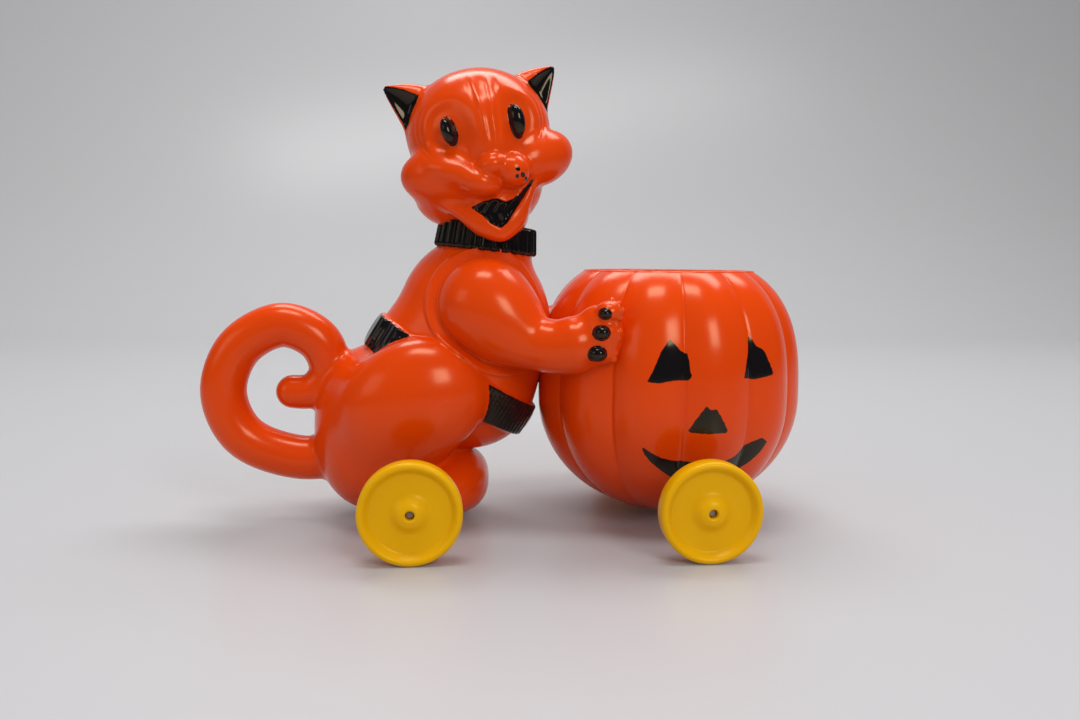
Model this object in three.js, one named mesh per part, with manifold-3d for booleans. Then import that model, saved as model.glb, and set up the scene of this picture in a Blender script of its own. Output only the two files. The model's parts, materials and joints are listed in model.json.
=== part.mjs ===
// Candy dish: a moulded cat pushes an open jack-o'-lantern that rolls on four wheels.
// Millimetres, +Z up, +X the way the toy rolls, -Y the side that the cat's face looks to.
import * as THREE from "three";
import { mergeVertices } from "three/addons/utils/BufferGeometryUtils.js";
import Module from "manifold-3d";

const wasm = await Module();
wasm.setup();

// Running gear
const WHEEL_RADIUS = 14;
const WHEEL_WIDTH = 6;
const WHEEL_LIP = 2.6; // radial height of the rounded rim
const WHEEL_WEB = 2; // thickness of the disc between the rim and the hub
const WHEEL_BEVEL = 1; // between the rim and the disc
const HUB_RADIUS = 4.6;
const HUB_TOP_RADIUS = 3;
const HUB_PROUD = 0.2; // how far the hub stands out of the outer face
const HUB_INNER_LENGTH = 2.6; // how far the hub stands out of the inner face
const WHEELBASE = 80.2;
const FRONT_WHEEL_GAP = 7.9; // from the widest part of the pumpkin to a front wheel
const REAR_WHEEL_GAP = 13.5; // from the side of a thigh to a rear wheel
const AXLE_RADIUS = 1.15;
const AXLE_RECESS = 1.2; // the axle ends inside the hub
const PRESS_GAP = 0.25; // between an axle and the wheel that is pressed on it
const RUNNING_GAP = 0.45; // between an axle and its moulded hole

// Pumpkin bowl, centred over the front axle
const PUMPKIN_RADIUS = 41.6;
const PUMPKIN_LOWER = 37.3; // from the widest ring down to the bottom
const PUMPKIN_UPPER = 44; // height of the upper curve, which the mouth cuts off
const PUMPKIN_UPPER_POWER = 2.77; // 2 is an ellipse, more is squarer
const PUMPKIN_BELLY_HEIGHT = 24.8; // widest ring above the axle
const RIM_HEIGHT = 64; // mouth above the axle
const RIB_COUNT = 12;
const RIB_DEPTH = 2;
const RIB_TURN = -0.112; // radians, sets a rib in the middle of the pumpkin's face
const WALL = 2;

// Cat's lumps: half sizes and heights above the axles. The torso and the belly press into
// the pumpkin's wall by seat, and the others lie ahead of the rear axle by x.
const TORSO = { seat: 4.1, z: 46, length: 24, width: 22, height: 28 };
const BELLY = { seat: 0.2, z: 31.1, length: 27.2, width: 24, height: 22, lean: 0.547 };
const RUMP = { x: -5, z: 14.5, length: 25.5, width: 26, height: 26.5, power: 2.3 };
const THIGH = { x: 1.8, z: 23.5, length: 20, width: 14.5, height: 20 };
const THIGH_SIDE = 16.5; // from the seam to the middle of a thigh
const FOOT = { x: 9.2, z: -1.8, length: 14.2, width: 25, height: 10.2, power: 2.5 };
const BAND_WIDTH = 10.7;
const BAND_PROUD = 1.5;
const BAND_STRETCH = 1.3; // the waistband's rounding up and down, in belly heights

// Tail, a tube in the moulding plane
const TAIL_RADIUS = 6.8;
const TAIL_TIP_RADIUS = 5;
const TAIL_TAPER_FROM = 0.72; // share of its length where the tail starts to thin
const TAIL_LENGTH = 64.8; // from the rear axle back to the outside of the curl
const TAIL_HEIGHT = 25.8; // middle of the curl above the axle
const TAIL_CURL = 20.5; // from the middle of the curl to the middle of the tube
const TAIL_ROOT = 12; // how far behind the middle of the rump the tail starts

// Curl's path round its middle, in shares of TAIL_CURL: forward, then up
const TAIL_PATH = [
  [0.05, -1],
  [-0.73, -0.66],
  [-1, 0],
  [-0.75, 0.67],
  [-0.12, 1],
  [0.41, 0.76],
  [0.55, 0.32],
  [0.31, 0.02],
  [-0.25, 0.02],
];

// Neck and collar
const COLLAR_RADIUS = 16.1;
const COLLAR_HEIGHT = 8.3;
const COLLAR_BEVEL = 1;
const COLLAR_TAPER = 0.7; // the collar is this much slimmer at its top
const COLLAR_RIBS = 26;
const COLLAR_RIB_DEPTH = 0.9;
const COLLAR_AHEAD = 3.9; // from the middle of the torso forward to the collar's
const COLLAR_RISE = 27.4; // from the middle of the torso up to the collar's
const COLLAR_LEAN = 0.105;

// Head: places from its middle are to the side, out of the face and up
const HEAD_RISE = 26.4; // from the middle of the collar up to the head's
const HEAD_BACK = 1.5; // from the middle of the collar back to the head's
const HEAD_TURN = 0.07;
const HEAD_ROLL = 0.16;
const HEAD_LUMPS = [
  { side: 0, out: -1, up: 5.3, wide: 22, deep: 20.5, tall: 19.4, blend: 1 }, // cranium
  { side: -0.8, out: 1, up: -9, wide: 16, deep: 16.4, tall: 17.5, blend: 5 }, // lower face
  { side: -12, out: 1.5, up: -11.4, wide: 10.6, deep: 10, tall: 9.6, blend: 5 }, // jowls
  { side: 7.4, out: 1.5, up: -11, wide: 8.6, deep: 9.4, tall: 9, blend: 5 },
  { side: -14.4, out: 9, up: -6.4, wide: 12.6, deep: 7.6, tall: 8.4, turn: -0.5, blend: 3 }, // cheeks
  { side: 15.4, out: 9, up: -5.2, wide: 12.4, deep: 7.6, tall: 8.2, turn: 0.5, blend: 2 },
  { side: 0.8, out: 15.5, up: 1, wide: 5.4, deep: 6, tall: 12, blend: 3.5 }, // bridge of the nose
  { side: 0, out: 10.5, up: -20.5, wide: 9.6, deep: 8.2, tall: 7.4, blend: 3 }, // chin
  { side: -3.6, out: 17.4, up: -10.4, wide: 5.8, deep: 5, tall: 4.2, blend: 2.4 }, // muzzle
  { side: 5.8, out: 17, up: -9.8, wide: 5.8, deep: 5.6, tall: 5, blend: 2.2 },
  { side: 0.2, out: 18.6, up: -6.8, wide: 5, deep: 5, tall: 3.8, blend: 1.8 }, // nose
];
const FACE_CROWDING = 0.3; // how far the head's rows of facets crowd to its face
const EYES = [
  { side: -10.7, out: 15.6, up: 5.2, wide: 2.1, deep: 3, tall: 4.1, slant: -0.2, turn: -0.5 },
  { side: 9.1, out: 16, up: 5.6, wide: 2.4, deep: 3, tall: 4.8, slant: -0.02, turn: 0.5 },
];
const EYE_SOCKET = { wide: 6.4, tall: 8.8, depth: 2, edge: 1.8, fade: 8 };

// Open mouth from the front: beside and above the middle of the head
const MOUTH_OUTLINE = [
  [-7.6, -17],
  [-5, -19.6],
  [-2.8, -22.5],
  [-0.3, -24],
  [1.5, -23],
  [4.8, -19.4],
  [8.2, -15.8],
  [11.5, -11.7],
  [7.2, -15],
  [4.8, -16.4],
  [2.4, -17],
  [-0.3, -15.6],
  [-3.7, -15.9],
];
const MOUTH_FLOOR_OUT = 15.4; // the floor of the mouth is this far out of the head's middle

// Ears: flattened cones that lean out and swell on their inner side, with hollow fronts
const EAR = { side: 13.4, out: -1, up: 9.8, length: 18.8, radius: 9.4, lean: 0.82 };
const EAR_SWELL = 0.6; // how far the sides of an ear swell, in its radius
const EAR_BODY = { outwards: 0, forwards: 0, width: 1, depth: 0.55 }; // in its radius
const EAR_HOLLOW = { outwards: 0.42, forwards: 0.62, width: 0.74, depth: 0.52 };
const EAR_HOLLOW_SPAN = [0.3, 0.95]; // shares of the ear's length between which it is hollow
const EAR_TIP = 0.04; // the least radius of an ear, in its radius at the root

// Arms, from the shoulders to the paws on the pumpkin
const SHOULDER = { back: 2.3, side: 13.2, z: 58.5, radius: 13 };
const SHOULDER_END = { back: 6, up: 3 }; // from the shoulder's middle to the arm's round end
const ARM = { sag: 9, spread: 2.7, thinFrom: 0.26, thinTo: 0.66, swellFrom: 0.72, swellTo: 0.92 };
const WRIST_RADIUS = 7.8;
const PAW = { angle: 0.86, z: 45.5, radius: 8.8, stretch: 1.1, flatness: 0.72, proud: 1.6 };
const CLAW_COUNT = 3;
const CLAW_SPACING = 6.4;
const CLAW = { radius: 2.3, stretch: 1.3, along: 0.44, out: 0.74, curve: 0.16 }; // shares of the paw

// Facets round and along the larger round forms
const LUMP_FACETS = [22, 12];
const TORSO_FACETS = [20, 12];
const THIGH_FACETS = [20, 14];
const BAND_FACETS = [24, 14];
const TAIL_FACETS = [12, 30];
const ARM_FACETS = [12, 14];
const HEAD_FACETS = [36, 23];
const EAR_FACETS = [14, 4];

// Materials
const orangePlastic = new THREE.MeshStandardMaterial({
  color: "#d9480f",
  roughness: 0.28,
  metalness: 0,
});
const yellowPlastic = new THREE.MeshStandardMaterial({
  color: "#e3ac08",
  roughness: 0.35,
  metalness: 0,
});
const steel = new THREE.MeshStandardMaterial({
  color: "#9a9a97",
  roughness: 0.4,
  metalness: 1,
});

// A closed geometry as a solid for joining and cutting.
function solidOf(geometry) {
  const bare = geometry.clone();
  bare.deleteAttribute("normal");
  bare.deleteAttribute("uv");
  const merged = mergeVertices(bare, 1e-4);
  return new wasm.Manifold(
    new wasm.Mesh({
      numProp: 3,
      vertProperties: new Float32Array(merged.attributes.position.array),
      triVerts: new Uint32Array(merged.index.array),
    }),
  );
}

// A solid as a named mesh with its own copy of the finish.
function meshOf(name, solid, material) {
  const { numProp, vertProperties, triVerts } = solid.getMesh();
  const corners = new Float32Array((vertProperties.length / numProp) * 3);
  for (let i = 0; i < corners.length / 3; i += 1) {
    corners.set(vertProperties.subarray(i * numProp, i * numProp + 3), i * 3);
  }
  const geometry = new THREE.BufferGeometry();
  geometry.setAttribute("position", new THREE.BufferAttribute(corners, 3));
  geometry.setIndex(new THREE.BufferAttribute(new Uint32Array(triVerts), 1));
  geometry.computeVertexNormals();
  const mesh = new THREE.Mesh(geometry, material.clone());
  mesh.name = name;
  return mesh;
}

// Moves each vertex of a geometry to place(vertex), which changes the vertex itself.
function reshape(geometry, place) {
  const position = geometry.attributes.position;
  const vertex = new THREE.Vector3();
  for (let i = 0; i < position.count; i += 1) {
    vertex.fromBufferAttribute(position, i);
    place(vertex);
    position.setXYZ(i, vertex.x, vertex.y, vertex.z);
  }
  return geometry;
}

// Superellipsoid round (x, y, form.z), which is an ellipsoid where its power is 2.
function lump(form, x, y = 0, facets = LUMP_FACETS) {
  const power = form.power ?? 2;
  const round = new THREE.SphereGeometry(1, ...facets).rotateX(Math.PI / 2);
  reshape(round, (v) => {
    const flat = Math.abs(v.x) ** power + Math.abs(v.z) ** power;
    const reach = (flat ** (2 / power) + v.y ** 2) ** -0.5;
    v.multiplyScalar(reach);
    v.set(v.x * form.length, v.y * form.width, v.z * form.height);
  });
  return solidOf(round.rotateY(form.lean ?? 0).translate(x, y, form.z));
}

// Middle of a lump that presses into the pumpkin's nearest wall.
function seatedAt(form) {
  return WHEELBASE - PUMPKIN_RADIUS + form.seat - form.length;
}

// Round-ended tube along a curve: radiusAt(t) is its radius, t runs from 0 to 1.
// The rows of facets crowd to its two ends.
function sweep(curve, radiusAt, facets) {
  const length = curve.getLength();
  const reference = new THREE.Vector3(0, 1, 0);
  const crowding = 0.7;
  return reshape(new THREE.SphereGeometry(1, ...facets), (v) => {
    const turn = Math.acos(THREE.MathUtils.clamp(v.y, -1, 1)) / Math.PI;
    const t = turn - (crowding * Math.sin(2 * Math.PI * turn)) / (2 * Math.PI);
    const end = (Math.min(t, 1 - t) * length) / radiusAt(t);
    const cap = Math.sqrt(1 - (1 - Math.min(end, 1)) ** 2);
    const across = Math.hypot(v.x, v.z) || 1;
    const size = (radiusAt(t) * cap) / across;
    const along = curve.getTangentAt(t);
    const side = new THREE.Vector3().crossVectors(along, reference).normalize();
    const up = new THREE.Vector3().crossVectors(along, side);
    const right = v.x * size;
    const over = v.z * size;
    v.copy(curve.getPointAt(t)).addScaledVector(side, right).addScaledVector(up, over);
  });
}

// Radius of the pumpkin at a height above the axle, drawn in by an inset.
function pumpkinRadiusAt(z, inset = 0) {
  const rise = z - PUMPKIN_BELLY_HEIGHT;
  if (rise <= 0) {
    const share = rise / (PUMPKIN_LOWER - inset);
    return (PUMPKIN_RADIUS - inset) * Math.sqrt(Math.max(1 - share ** 2, 0));
  }
  const left = 1 - (rise / PUMPKIN_UPPER) ** PUMPKIN_UPPER_POWER;
  return PUMPKIN_RADIUS * left ** (1 / PUMPKIN_UPPER_POWER) - inset;
}

// Ribbed solid of revolution inside the pumpkin's outline, closed flat at a height of top.
function pumpkinBody(inset, top, rows, stepsPerRib) {
  const outline = [];
  const addRing = (z) => outline.push(new THREE.Vector2(pumpkinRadiusAt(z, inset), z));
  for (let i = 0; i <= rows; i += 1) {
    const turn = (i / rows) * (Math.PI / 2);
    addRing(PUMPKIN_BELLY_HEIGHT - (PUMPKIN_LOWER - inset) * Math.cos(turn));
  }
  for (let i = 1; i <= rows; i += 1) {
    const turn = (i / rows) * (Math.PI / 2);
    addRing(PUMPKIN_BELLY_HEIGHT + (RIM_HEIGHT - PUMPKIN_BELLY_HEIGHT) * Math.sin(turn));
  }
  outline[0].x = 0;
  if (top > RIM_HEIGHT) outline.push(new THREE.Vector2(outline.at(-1).x, top));
  outline.push(new THREE.Vector2(0, top));
  const body = new THREE.LatheGeometry(outline, RIB_COUNT * stepsPerRib);
  reshape(body.rotateX(Math.PI / 2), (v) => {
    const turn = Math.atan2(v.x, v.y);
    const groove = 1 - Math.abs(Math.sin((turn * RIB_COUNT) / 2));
    const pull = 1 - (RIB_DEPTH / PUMPKIN_RADIUS) * groove;
    const onAxis = Math.hypot(v.x, v.y) < 1e-6;
    v.set(onAxis ? 0 : v.x * pull, onAxis ? 0 : v.y * pull, v.z);
  });
  return solidOf(body.rotateZ(RIB_TURN).translate(WHEELBASE, 0, 0));
}

// Curled tail: it leaves the rump low, rounds the curl and hooks back into its middle.
function tail() {
  const middle = -TAIL_LENGTH + TAIL_RADIUS + TAIL_CURL;
  const points = TAIL_PATH.map(
    ([forward, up]) =>
      new THREE.Vector3(middle + forward * TAIL_CURL, 0, TAIL_HEIGHT + up * TAIL_CURL),
  );
  points.unshift(new THREE.Vector3(RUMP.x - TAIL_ROOT, 0, points[0].z + 1));
  const curve = new THREE.CatmullRomCurve3(points);
  const taper = (t) => {
    const share = THREE.MathUtils.smoothstep(t, TAIL_TAPER_FROM, 1);
    return THREE.MathUtils.lerp(TAIL_RADIUS, TAIL_TIP_RADIUS, share);
  };
  return solidOf(sweep(curve, taper, TAIL_FACETS));
}

// Middle of a shoulder and of the paw that lies on the pumpkin, on one side.
function armEnds(side) {
  const shoulderAt = seatedAt(TORSO) - SHOULDER.back;
  const shoulder = new THREE.Vector3(shoulderAt, side * SHOULDER.side, SHOULDER.z);
  const reach = pumpkinRadiusAt(PAW.z) - RIB_DEPTH / 2;
  const paw = new THREE.Vector3(
    WHEELBASE - reach * Math.cos(PAW.angle),
    side * reach * Math.sin(PAW.angle),
    PAW.z,
  );
  return { shoulder, paw };
}

// Arm: a tapering tube that hangs in a shallow bow between the shoulder and the paw.
function arm(side) {
  const { shoulder, paw } = armEnds(side);
  const steps = 6;
  const points = [shoulder.clone().add(new THREE.Vector3(-SHOULDER_END.back, 0, SHOULDER_END.up))];
  for (let i = 0; i <= steps; i += 1) {
    const bow = Math.sin((Math.PI * i) / steps);
    const place = new THREE.Vector3().lerpVectors(shoulder, paw, i / steps);
    points.push(place.add(new THREE.Vector3(0, side * ARM.spread * bow, -ARM.sag * bow)));
  }
  const radiusAt = (t) => {
    const thin = THREE.MathUtils.smoothstep(t, ARM.thinFrom, ARM.thinTo);
    const swell = THREE.MathUtils.smoothstep(t, ARM.swellFrom, ARM.swellTo);
    const upper = THREE.MathUtils.lerp(SHOULDER.radius, WRIST_RADIUS, thin);
    return THREE.MathUtils.lerp(upper, PAW.radius, swell);
  };
  return solidOf(sweep(new THREE.CatmullRomCurve3(points), radiusAt, ARM_FACETS));
}

// Paw: a flattened ball that lies along the pumpkin, with its claws over each other.
function paw(side) {
  const place = armEnds(side).paw;
  const turn = side * (Math.PI / 2 - PAW.angle);
  const lay = (geometry) => {
    geometry.rotateZ(turn).translate(place.x, place.y, place.z);
    return solidOf(geometry);
  };
  const palm = new THREE.SphereGeometry(PAW.radius, 14, 9);
  palm.scale(PAW.stretch, PAW.flatness, 1).translate(0, side * PAW.proud, 0);
  const solids = [lay(palm)];
  for (let i = 0; i < CLAW_COUNT; i += 1) {
    const level = i - (CLAW_COUNT - 1) / 2;
    const bend = CLAW.curve * level ** 2;
    const along = PAW.radius * PAW.stretch * (CLAW.along - bend);
    const out = PAW.proud + PAW.radius * PAW.flatness * (CLAW.out - bend);
    const claw = new THREE.SphereGeometry(CLAW.radius, 8, 6).scale(CLAW.stretch, 1, 1);
    solids.push(lay(claw.translate(along, side * out, level * CLAW_SPACING)));
  }
  return solids;
}

// Farthest distance at which a ray from the head's middle leaves an ellipsoid.
function exitDistance(ray, middle, semi) {
  const axes = ["x", "y", "z"];
  const a = axes.reduce((sum, k) => sum + (ray[k] / semi[k]) ** 2, 0);
  const b = axes.reduce((sum, k) => sum + (ray[k] * middle[k]) / semi[k] ** 2, 0);
  const c = axes.reduce((sum, k) => sum + (middle[k] / semi[k]) ** 2, 0) - 1;
  const root = b * b - a * c;
  return root > 0 ? (b + Math.sqrt(root)) / a : 0;
}

// The larger of two distances, with a fillet as deep as blend where they are close.
function smoothMax(a, b, blend) {
  const near = Math.max(blend - Math.abs(a - b), 0) / blend;
  return Math.max(a, b) + (near * near * blend) / 4;
}

// Lump of the head with its middle seen from its own axes.
function headLump(form) {
  const unturn = new THREE.Quaternion().setFromAxisAngle(new THREE.Vector3(0, 0, 1), -(form.turn ?? 0));
  return {
    unturn,
    middle: new THREE.Vector3(form.side, -form.out, form.up).applyQuaternion(unturn),
    semi: new THREE.Vector3(form.wide, form.deep, form.tall),
    blend: form.blend,
  };
}

// How far the face is drawn in at a place beside and above its middle.
function socketDepth(x, z) {
  const eye = EYES[x < 0 ? 0 : 1];
  const across = (x - eye.side) / EYE_SOCKET.wide;
  const rise = (z - eye.up) / EYE_SOCKET.tall;
  return EYE_SOCKET.depth * Math.exp(-EYE_SOCKET.edge * Math.hypot(across, rise) ** 3);
}

// Eye: an upright oval that stands out of its socket.
function eyeball(form) {
  const ball = new THREE.SphereGeometry(1, 12, 8).scale(form.wide, form.deep, form.tall);
  ball.rotateY(form.slant).rotateZ(form.turn);
  return ball.translate(form.side, -form.out, form.up);
}

// Head without its ears and mouth, as the distance along each ray from its middle.
function headBody() {
  const lumps = HEAD_LUMPS.map(headLump);
  return reshape(new THREE.SphereGeometry(1, ...HEAD_FACETS), (v) => {
    const polar = Math.acos(THREE.MathUtils.clamp(-v.y, -1, 1));
    const crowded = polar - FACE_CROWDING * Math.sin(polar);
    const across = Math.hypot(v.x, v.z) || 1;
    const spread = Math.sin(crowded) / across;
    const ray = new THREE.Vector3(v.x * spread, -Math.cos(crowded), v.z * spread);
    let reach = 0;
    for (const { unturn, middle, semi, blend } of lumps) {
      const own = ray.clone().applyQuaternion(unturn);
      reach = smoothMax(reach, exitDistance(own, middle, semi), blend);
    }
    v.copy(ray).multiplyScalar(reach);
    if (v.y < 0) v.y += socketDepth(v.x, v.z) * Math.min(-v.y / EYE_SOCKET.fade, 1);
  });
}

// Open mouth: its outline, sunk into the lower face.
function mouth() {
  const outline = new THREE.Shape(MOUTH_OUTLINE.map(([x, z]) => new THREE.Vector2(x, z)));
  const depth = MOUTH_FLOOR_OUT;
  const body = new THREE.ExtrudeGeometry(outline, { depth, bevelEnabled: false });
  return body.rotateX(Math.PI / 2).translate(0, -MOUTH_FLOOR_OUT, 0);
}

// Ear, or the hollow that is cut into its front where hollow is true.
function earBody(side, hollow) {
  const [from, to] = hollow ? EAR_HOLLOW_SPAN : [0, 1];
  const cone = new THREE.CylinderGeometry(1, 1, 1, ...EAR_FACETS).rotateX(Math.PI / 2);
  reshape(cone, (v) => {
    const t = from + (to - from) * (v.z + 0.5);
    const swell = EAR_SWELL * t * (1 - t);
    const radius = EAR.radius * Math.max(1 - t + swell, EAR_TIP);
    const shape = hollow ? EAR_HOLLOW : EAR_BODY;
    const x = side * (radius * shape.outwards - EAR.radius * swell) + radius * shape.width * v.x;
    v.set(x, radius * (shape.depth * v.y - shape.forwards), t * EAR.length);
  });
  return cone.rotateY(side * EAR.lean).translate(side * EAR.side, -EAR.out, EAR.up);
}

// Head with ears, eyes and mouth, turned and rolled on the neck.
function head() {
  const collar = collarPlace();
  const seat = (geometry) => {
    geometry.rotateY(-HEAD_ROLL).rotateZ(HEAD_TURN);
    return solidOf(geometry.translate(collar.x - HEAD_BACK, 0, collar.z + HEAD_RISE));
  };
  const ears = [-1, 1].map((side) => seat(earBody(side, false)));
  const eyes = EYES.map((form) => seat(eyeball(form)));
  const hollows = [-1, 1].map((side) => seat(earBody(side, true)));
  const whole = [...ears, ...eyes].reduce((sum, piece) => sum.add(piece), seat(headBody()));
  return [...hollows, seat(mouth())].reduce((left, piece) => left.subtract(piece), whole);
}

// Middle of the collar.
function collarPlace() {
  return { x: seatedAt(TORSO) + COLLAR_AHEAD, z: TORSO.z + COLLAR_RISE };
}

// Ribbed collar that leans forward with the neck.
function collar() {
  const half = COLLAR_HEIGHT / 2;
  const top = COLLAR_RADIUS - COLLAR_TAPER;
  const outline = [
    new THREE.Vector2(0, -half),
    new THREE.Vector2(COLLAR_RADIUS - COLLAR_BEVEL, -half),
    new THREE.Vector2(COLLAR_RADIUS, -half + COLLAR_BEVEL),
    new THREE.Vector2(top, half - COLLAR_BEVEL),
    new THREE.Vector2(top - COLLAR_BEVEL, half),
    new THREE.Vector2(0, half),
  ];
  const ring = new THREE.LatheGeometry(outline, 2 * COLLAR_RIBS).rotateX(Math.PI / 2);
  reshape(ring, (v) => {
    const radius = Math.hypot(v.x, v.y);
    if (radius < COLLAR_RADIUS / 2) return;
    const groove = 0.5 - 0.5 * Math.cos(Math.atan2(v.x, v.y) * COLLAR_RIBS);
    const pull = 1 - (COLLAR_RIB_DEPTH / radius) * groove;
    v.set(v.x * pull, v.y * pull, v.z);
  });
  const place = collarPlace();
  return solidOf(ring.rotateY(COLLAR_LEAN).translate(place.x, 0, place.z));
}

// Waistband: the belly a little larger, kept between two planes.
function waistband() {
  const wide = {
    ...BELLY,
    length: BELLY.length + BAND_PROUD,
    width: BELLY.width + BAND_PROUD,
    height: BAND_STRETCH * BELLY.height,
  };
  const reach = 3 * wide.length;
  const slab = new THREE.BoxGeometry(reach, reach, BAND_WIDTH);
  slab.rotateY(BELLY.lean).translate(seatedAt(BELLY), 0, BELLY.z);
  return lump(wide, seatedAt(BELLY), 0, BAND_FACETS).intersect(solidOf(slab));
}

// Hole across the moulding for one axle.
function axleHole(x) {
  const radius = AXLE_RADIUS + RUNNING_GAP;
  const hole = new THREE.CylinderGeometry(radius, radius, 4 * PUMPKIN_RADIUS, 16);
  return solidOf(hole.translate(x, 0, 0));
}

// The whole moulding before it is split: cat and bowl in one, with the axle holes.
function moulding() {
  const cat = [
    lump(RUMP, RUMP.x),
    lump(BELLY, seatedAt(BELLY)),
    lump(TORSO, seatedAt(TORSO), 0, TORSO_FACETS),
    lump(FOOT, FOOT.x),
    waistband(),
    tail(),
    collar(),
    head(),
  ];
  for (const side of [-1, 1]) {
    cat.push(lump(THIGH, THIGH.x, side * THIGH_SIDE, THIGH_FACETS), arm(side), ...paw(side));
  }
  const outside = cat.reduce((whole, piece) => whole.add(piece));
  const bowl = pumpkinBody(WALL, 2 * RIM_HEIGHT, 6, 3);
  const shell = outside.add(pumpkinBody(0, RIM_HEIGHT, 7, 5)).subtract(bowl);
  return shell.subtract(axleHole(0)).subtract(axleHole(WHEELBASE));
}

// One half of the moulding, on the side of the seam that side names.
function half(shell, side) {
  const reach = 4 * Math.ceil(WHEELBASE + PUMPKIN_RADIUS);
  const block = new THREE.BoxGeometry(reach, reach, reach);
  return shell.intersect(solidOf(block.translate(0, (side * reach) / 2, 0)));
}

// Wheel: rounded rim, thin web and a conical hub that is bored for the axle.
function wheel() {
  const bore = AXLE_RADIUS + PRESS_GAP;
  const face = WHEEL_WIDTH / 2;
  const lip = WHEEL_LIP / 2;
  const web = WHEEL_WEB / 2;
  const ring = WHEEL_RADIUS - lip;
  const outline = [];
  const add = (radius, along) => outline.push(new THREE.Vector2(radius, along));
  for (const corner of [-1, 1]) {
    for (let i = 0; i <= 2; i += 1) {
      const turn = corner * (corner < 0 ? 2 - i : i) * (Math.PI / 4);
      add(ring + lip * Math.cos(turn), corner * (face - lip) + lip * Math.sin(turn));
    }
  }
  add(ring - lip - WHEEL_BEVEL, web);
  add(HUB_RADIUS, web);
  add(HUB_TOP_RADIUS, face + HUB_PROUD);
  add(bore, face + HUB_PROUD);
  add(bore, -face - HUB_INNER_LENGTH);
  add(HUB_TOP_RADIUS, -face - HUB_INNER_LENGTH);
  add(HUB_RADIUS, -web);
  add(ring - lip - WHEEL_BEVEL, -web);
  outline.push(outline[0].clone());
  return new THREE.LatheGeometry(outline, 24);
}

// Axle with its two wheels, on its own group at the axle's place. The wheels' inner faces
// are this far from the seam.
function wheelset(end, x, inner) {
  const group = new THREE.Group();
  group.position.x = x;
  const offset = inner + WHEEL_WIDTH / 2;
  const length = 2 * (offset + WHEEL_WIDTH / 2 - AXLE_RECESS);
  const rod = new THREE.CylinderGeometry(AXLE_RADIUS, AXLE_RADIUS, length, 16);
  group.add(meshOf(end + "_axle", solidOf(rod), steel));
  for (const [name, side] of [["right", -1], ["left", 1]]) {
    const made = meshOf(end + "_" + name + "_wheel", solidOf(wheel()), yellowPlastic);
    made.position.y = side * offset;
    if (side < 0) made.rotation.z = Math.PI;
    group.add(made);
  }
  return group;
}

const toy = new THREE.Group();
const shell = moulding();
toy.add(meshOf("right_half_shell", half(shell, -1), orangePlastic));
toy.add(meshOf("left_half_shell", half(shell, 1), orangePlastic));
toy.add(wheelset("rear", 0, THIGH_SIDE + THIGH.width + REAR_WHEEL_GAP));
toy.add(wheelset("front", WHEELBASE, PUMPKIN_RADIUS + FRONT_WHEEL_GAP));

// The frame's origin is on the floor under the middle of the toy.
const back = -TAIL_LENGTH;
const front = WHEELBASE + PUMPKIN_RADIUS;
toy.position.set(-(back + front) / 2, 0, WHEEL_RADIUS);

export default toy;
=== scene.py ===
import json
import math

import bmesh
import bpy
import numpy as np
from mathutils import Matrix, Vector


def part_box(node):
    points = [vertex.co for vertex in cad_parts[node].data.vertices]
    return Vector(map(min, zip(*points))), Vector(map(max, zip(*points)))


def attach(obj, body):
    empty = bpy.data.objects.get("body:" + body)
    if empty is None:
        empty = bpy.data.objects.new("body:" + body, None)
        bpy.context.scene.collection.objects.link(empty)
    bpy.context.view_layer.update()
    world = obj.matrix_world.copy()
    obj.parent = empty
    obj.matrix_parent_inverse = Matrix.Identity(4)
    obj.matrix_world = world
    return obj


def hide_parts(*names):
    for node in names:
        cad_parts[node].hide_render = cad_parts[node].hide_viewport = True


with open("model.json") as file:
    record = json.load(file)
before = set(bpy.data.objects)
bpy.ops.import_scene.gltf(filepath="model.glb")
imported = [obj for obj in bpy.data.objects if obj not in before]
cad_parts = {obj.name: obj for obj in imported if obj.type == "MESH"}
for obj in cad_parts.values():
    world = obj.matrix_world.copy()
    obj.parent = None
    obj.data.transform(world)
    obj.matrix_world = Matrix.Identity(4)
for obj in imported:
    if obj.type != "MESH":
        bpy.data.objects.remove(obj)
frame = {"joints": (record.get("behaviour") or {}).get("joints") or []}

bl_info = {
    "name": "Candy dish with cat and pumpkin",
    "version": (1, 0, 0),
    "blender": (4, 5, 0),
    "location": "View3D > Sidebar > Candy Dish",
    "description": "Finished surfaces of a moulded candy dish: a cat that pushes a pumpkin bowl on wheels",
    "category": "Object",
}

# Places in this file are in millimetres from the middle of the rear axle, as the frame's joints give it
AXLES = {joint["child"]: np.array(joint["pos_m"]) * 1000 for joint in frame["joints"]}
REAR_AXLE = AXLES["rear_wheelset"]
WHEELBASE = float(AXLES["front_wheelset"][0] - REAR_AXLE[0])
WHEEL_RADIUS = float(REAR_AXLE[2])
AXLE_HOLE_RADIUS = 1.6

SIDES = (("right", -1), ("left", 1))

# Pumpkin
PUMPKIN_RADIUS = 41.6
PUMPKIN_LOWER = 37.3
PUMPKIN_UPPER = 44
PUMPKIN_UPPER_POWER = 2.77
PUMPKIN_BELLY_HEIGHT = 24.8
RIM_HEIGHT = 64
RIM_ROUND = 0.6
WALL = 2
GROOVE_LINE = 0.22  # depth of the fine line in the bottom of a groove
GROOVE_LINE_WIDTH = 0.09  # in shares of a rib's swell
GROOVE_SOFTNESS = 0.0006  # rounds the bottom of a groove
PUMPKIN_ROWS = 70  # of the grid, below its belly and above it
PUMPKIN_COLUMNS = 361  # of half the grid, apart from the fine ones at the seam
SEAM_COLUMNS = (0, 0.15, 0.3, 0.6, 1.2)  # their distances from the seam
SEAM_REACH = 2  # where the even columns start
PUMPKIN_SEAM = (0.16, 0.3)  # depth and half width of the seam's groove
SEAM_FROM_RADIUS = 5  # nearer to the pole the seam has no groove
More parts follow.
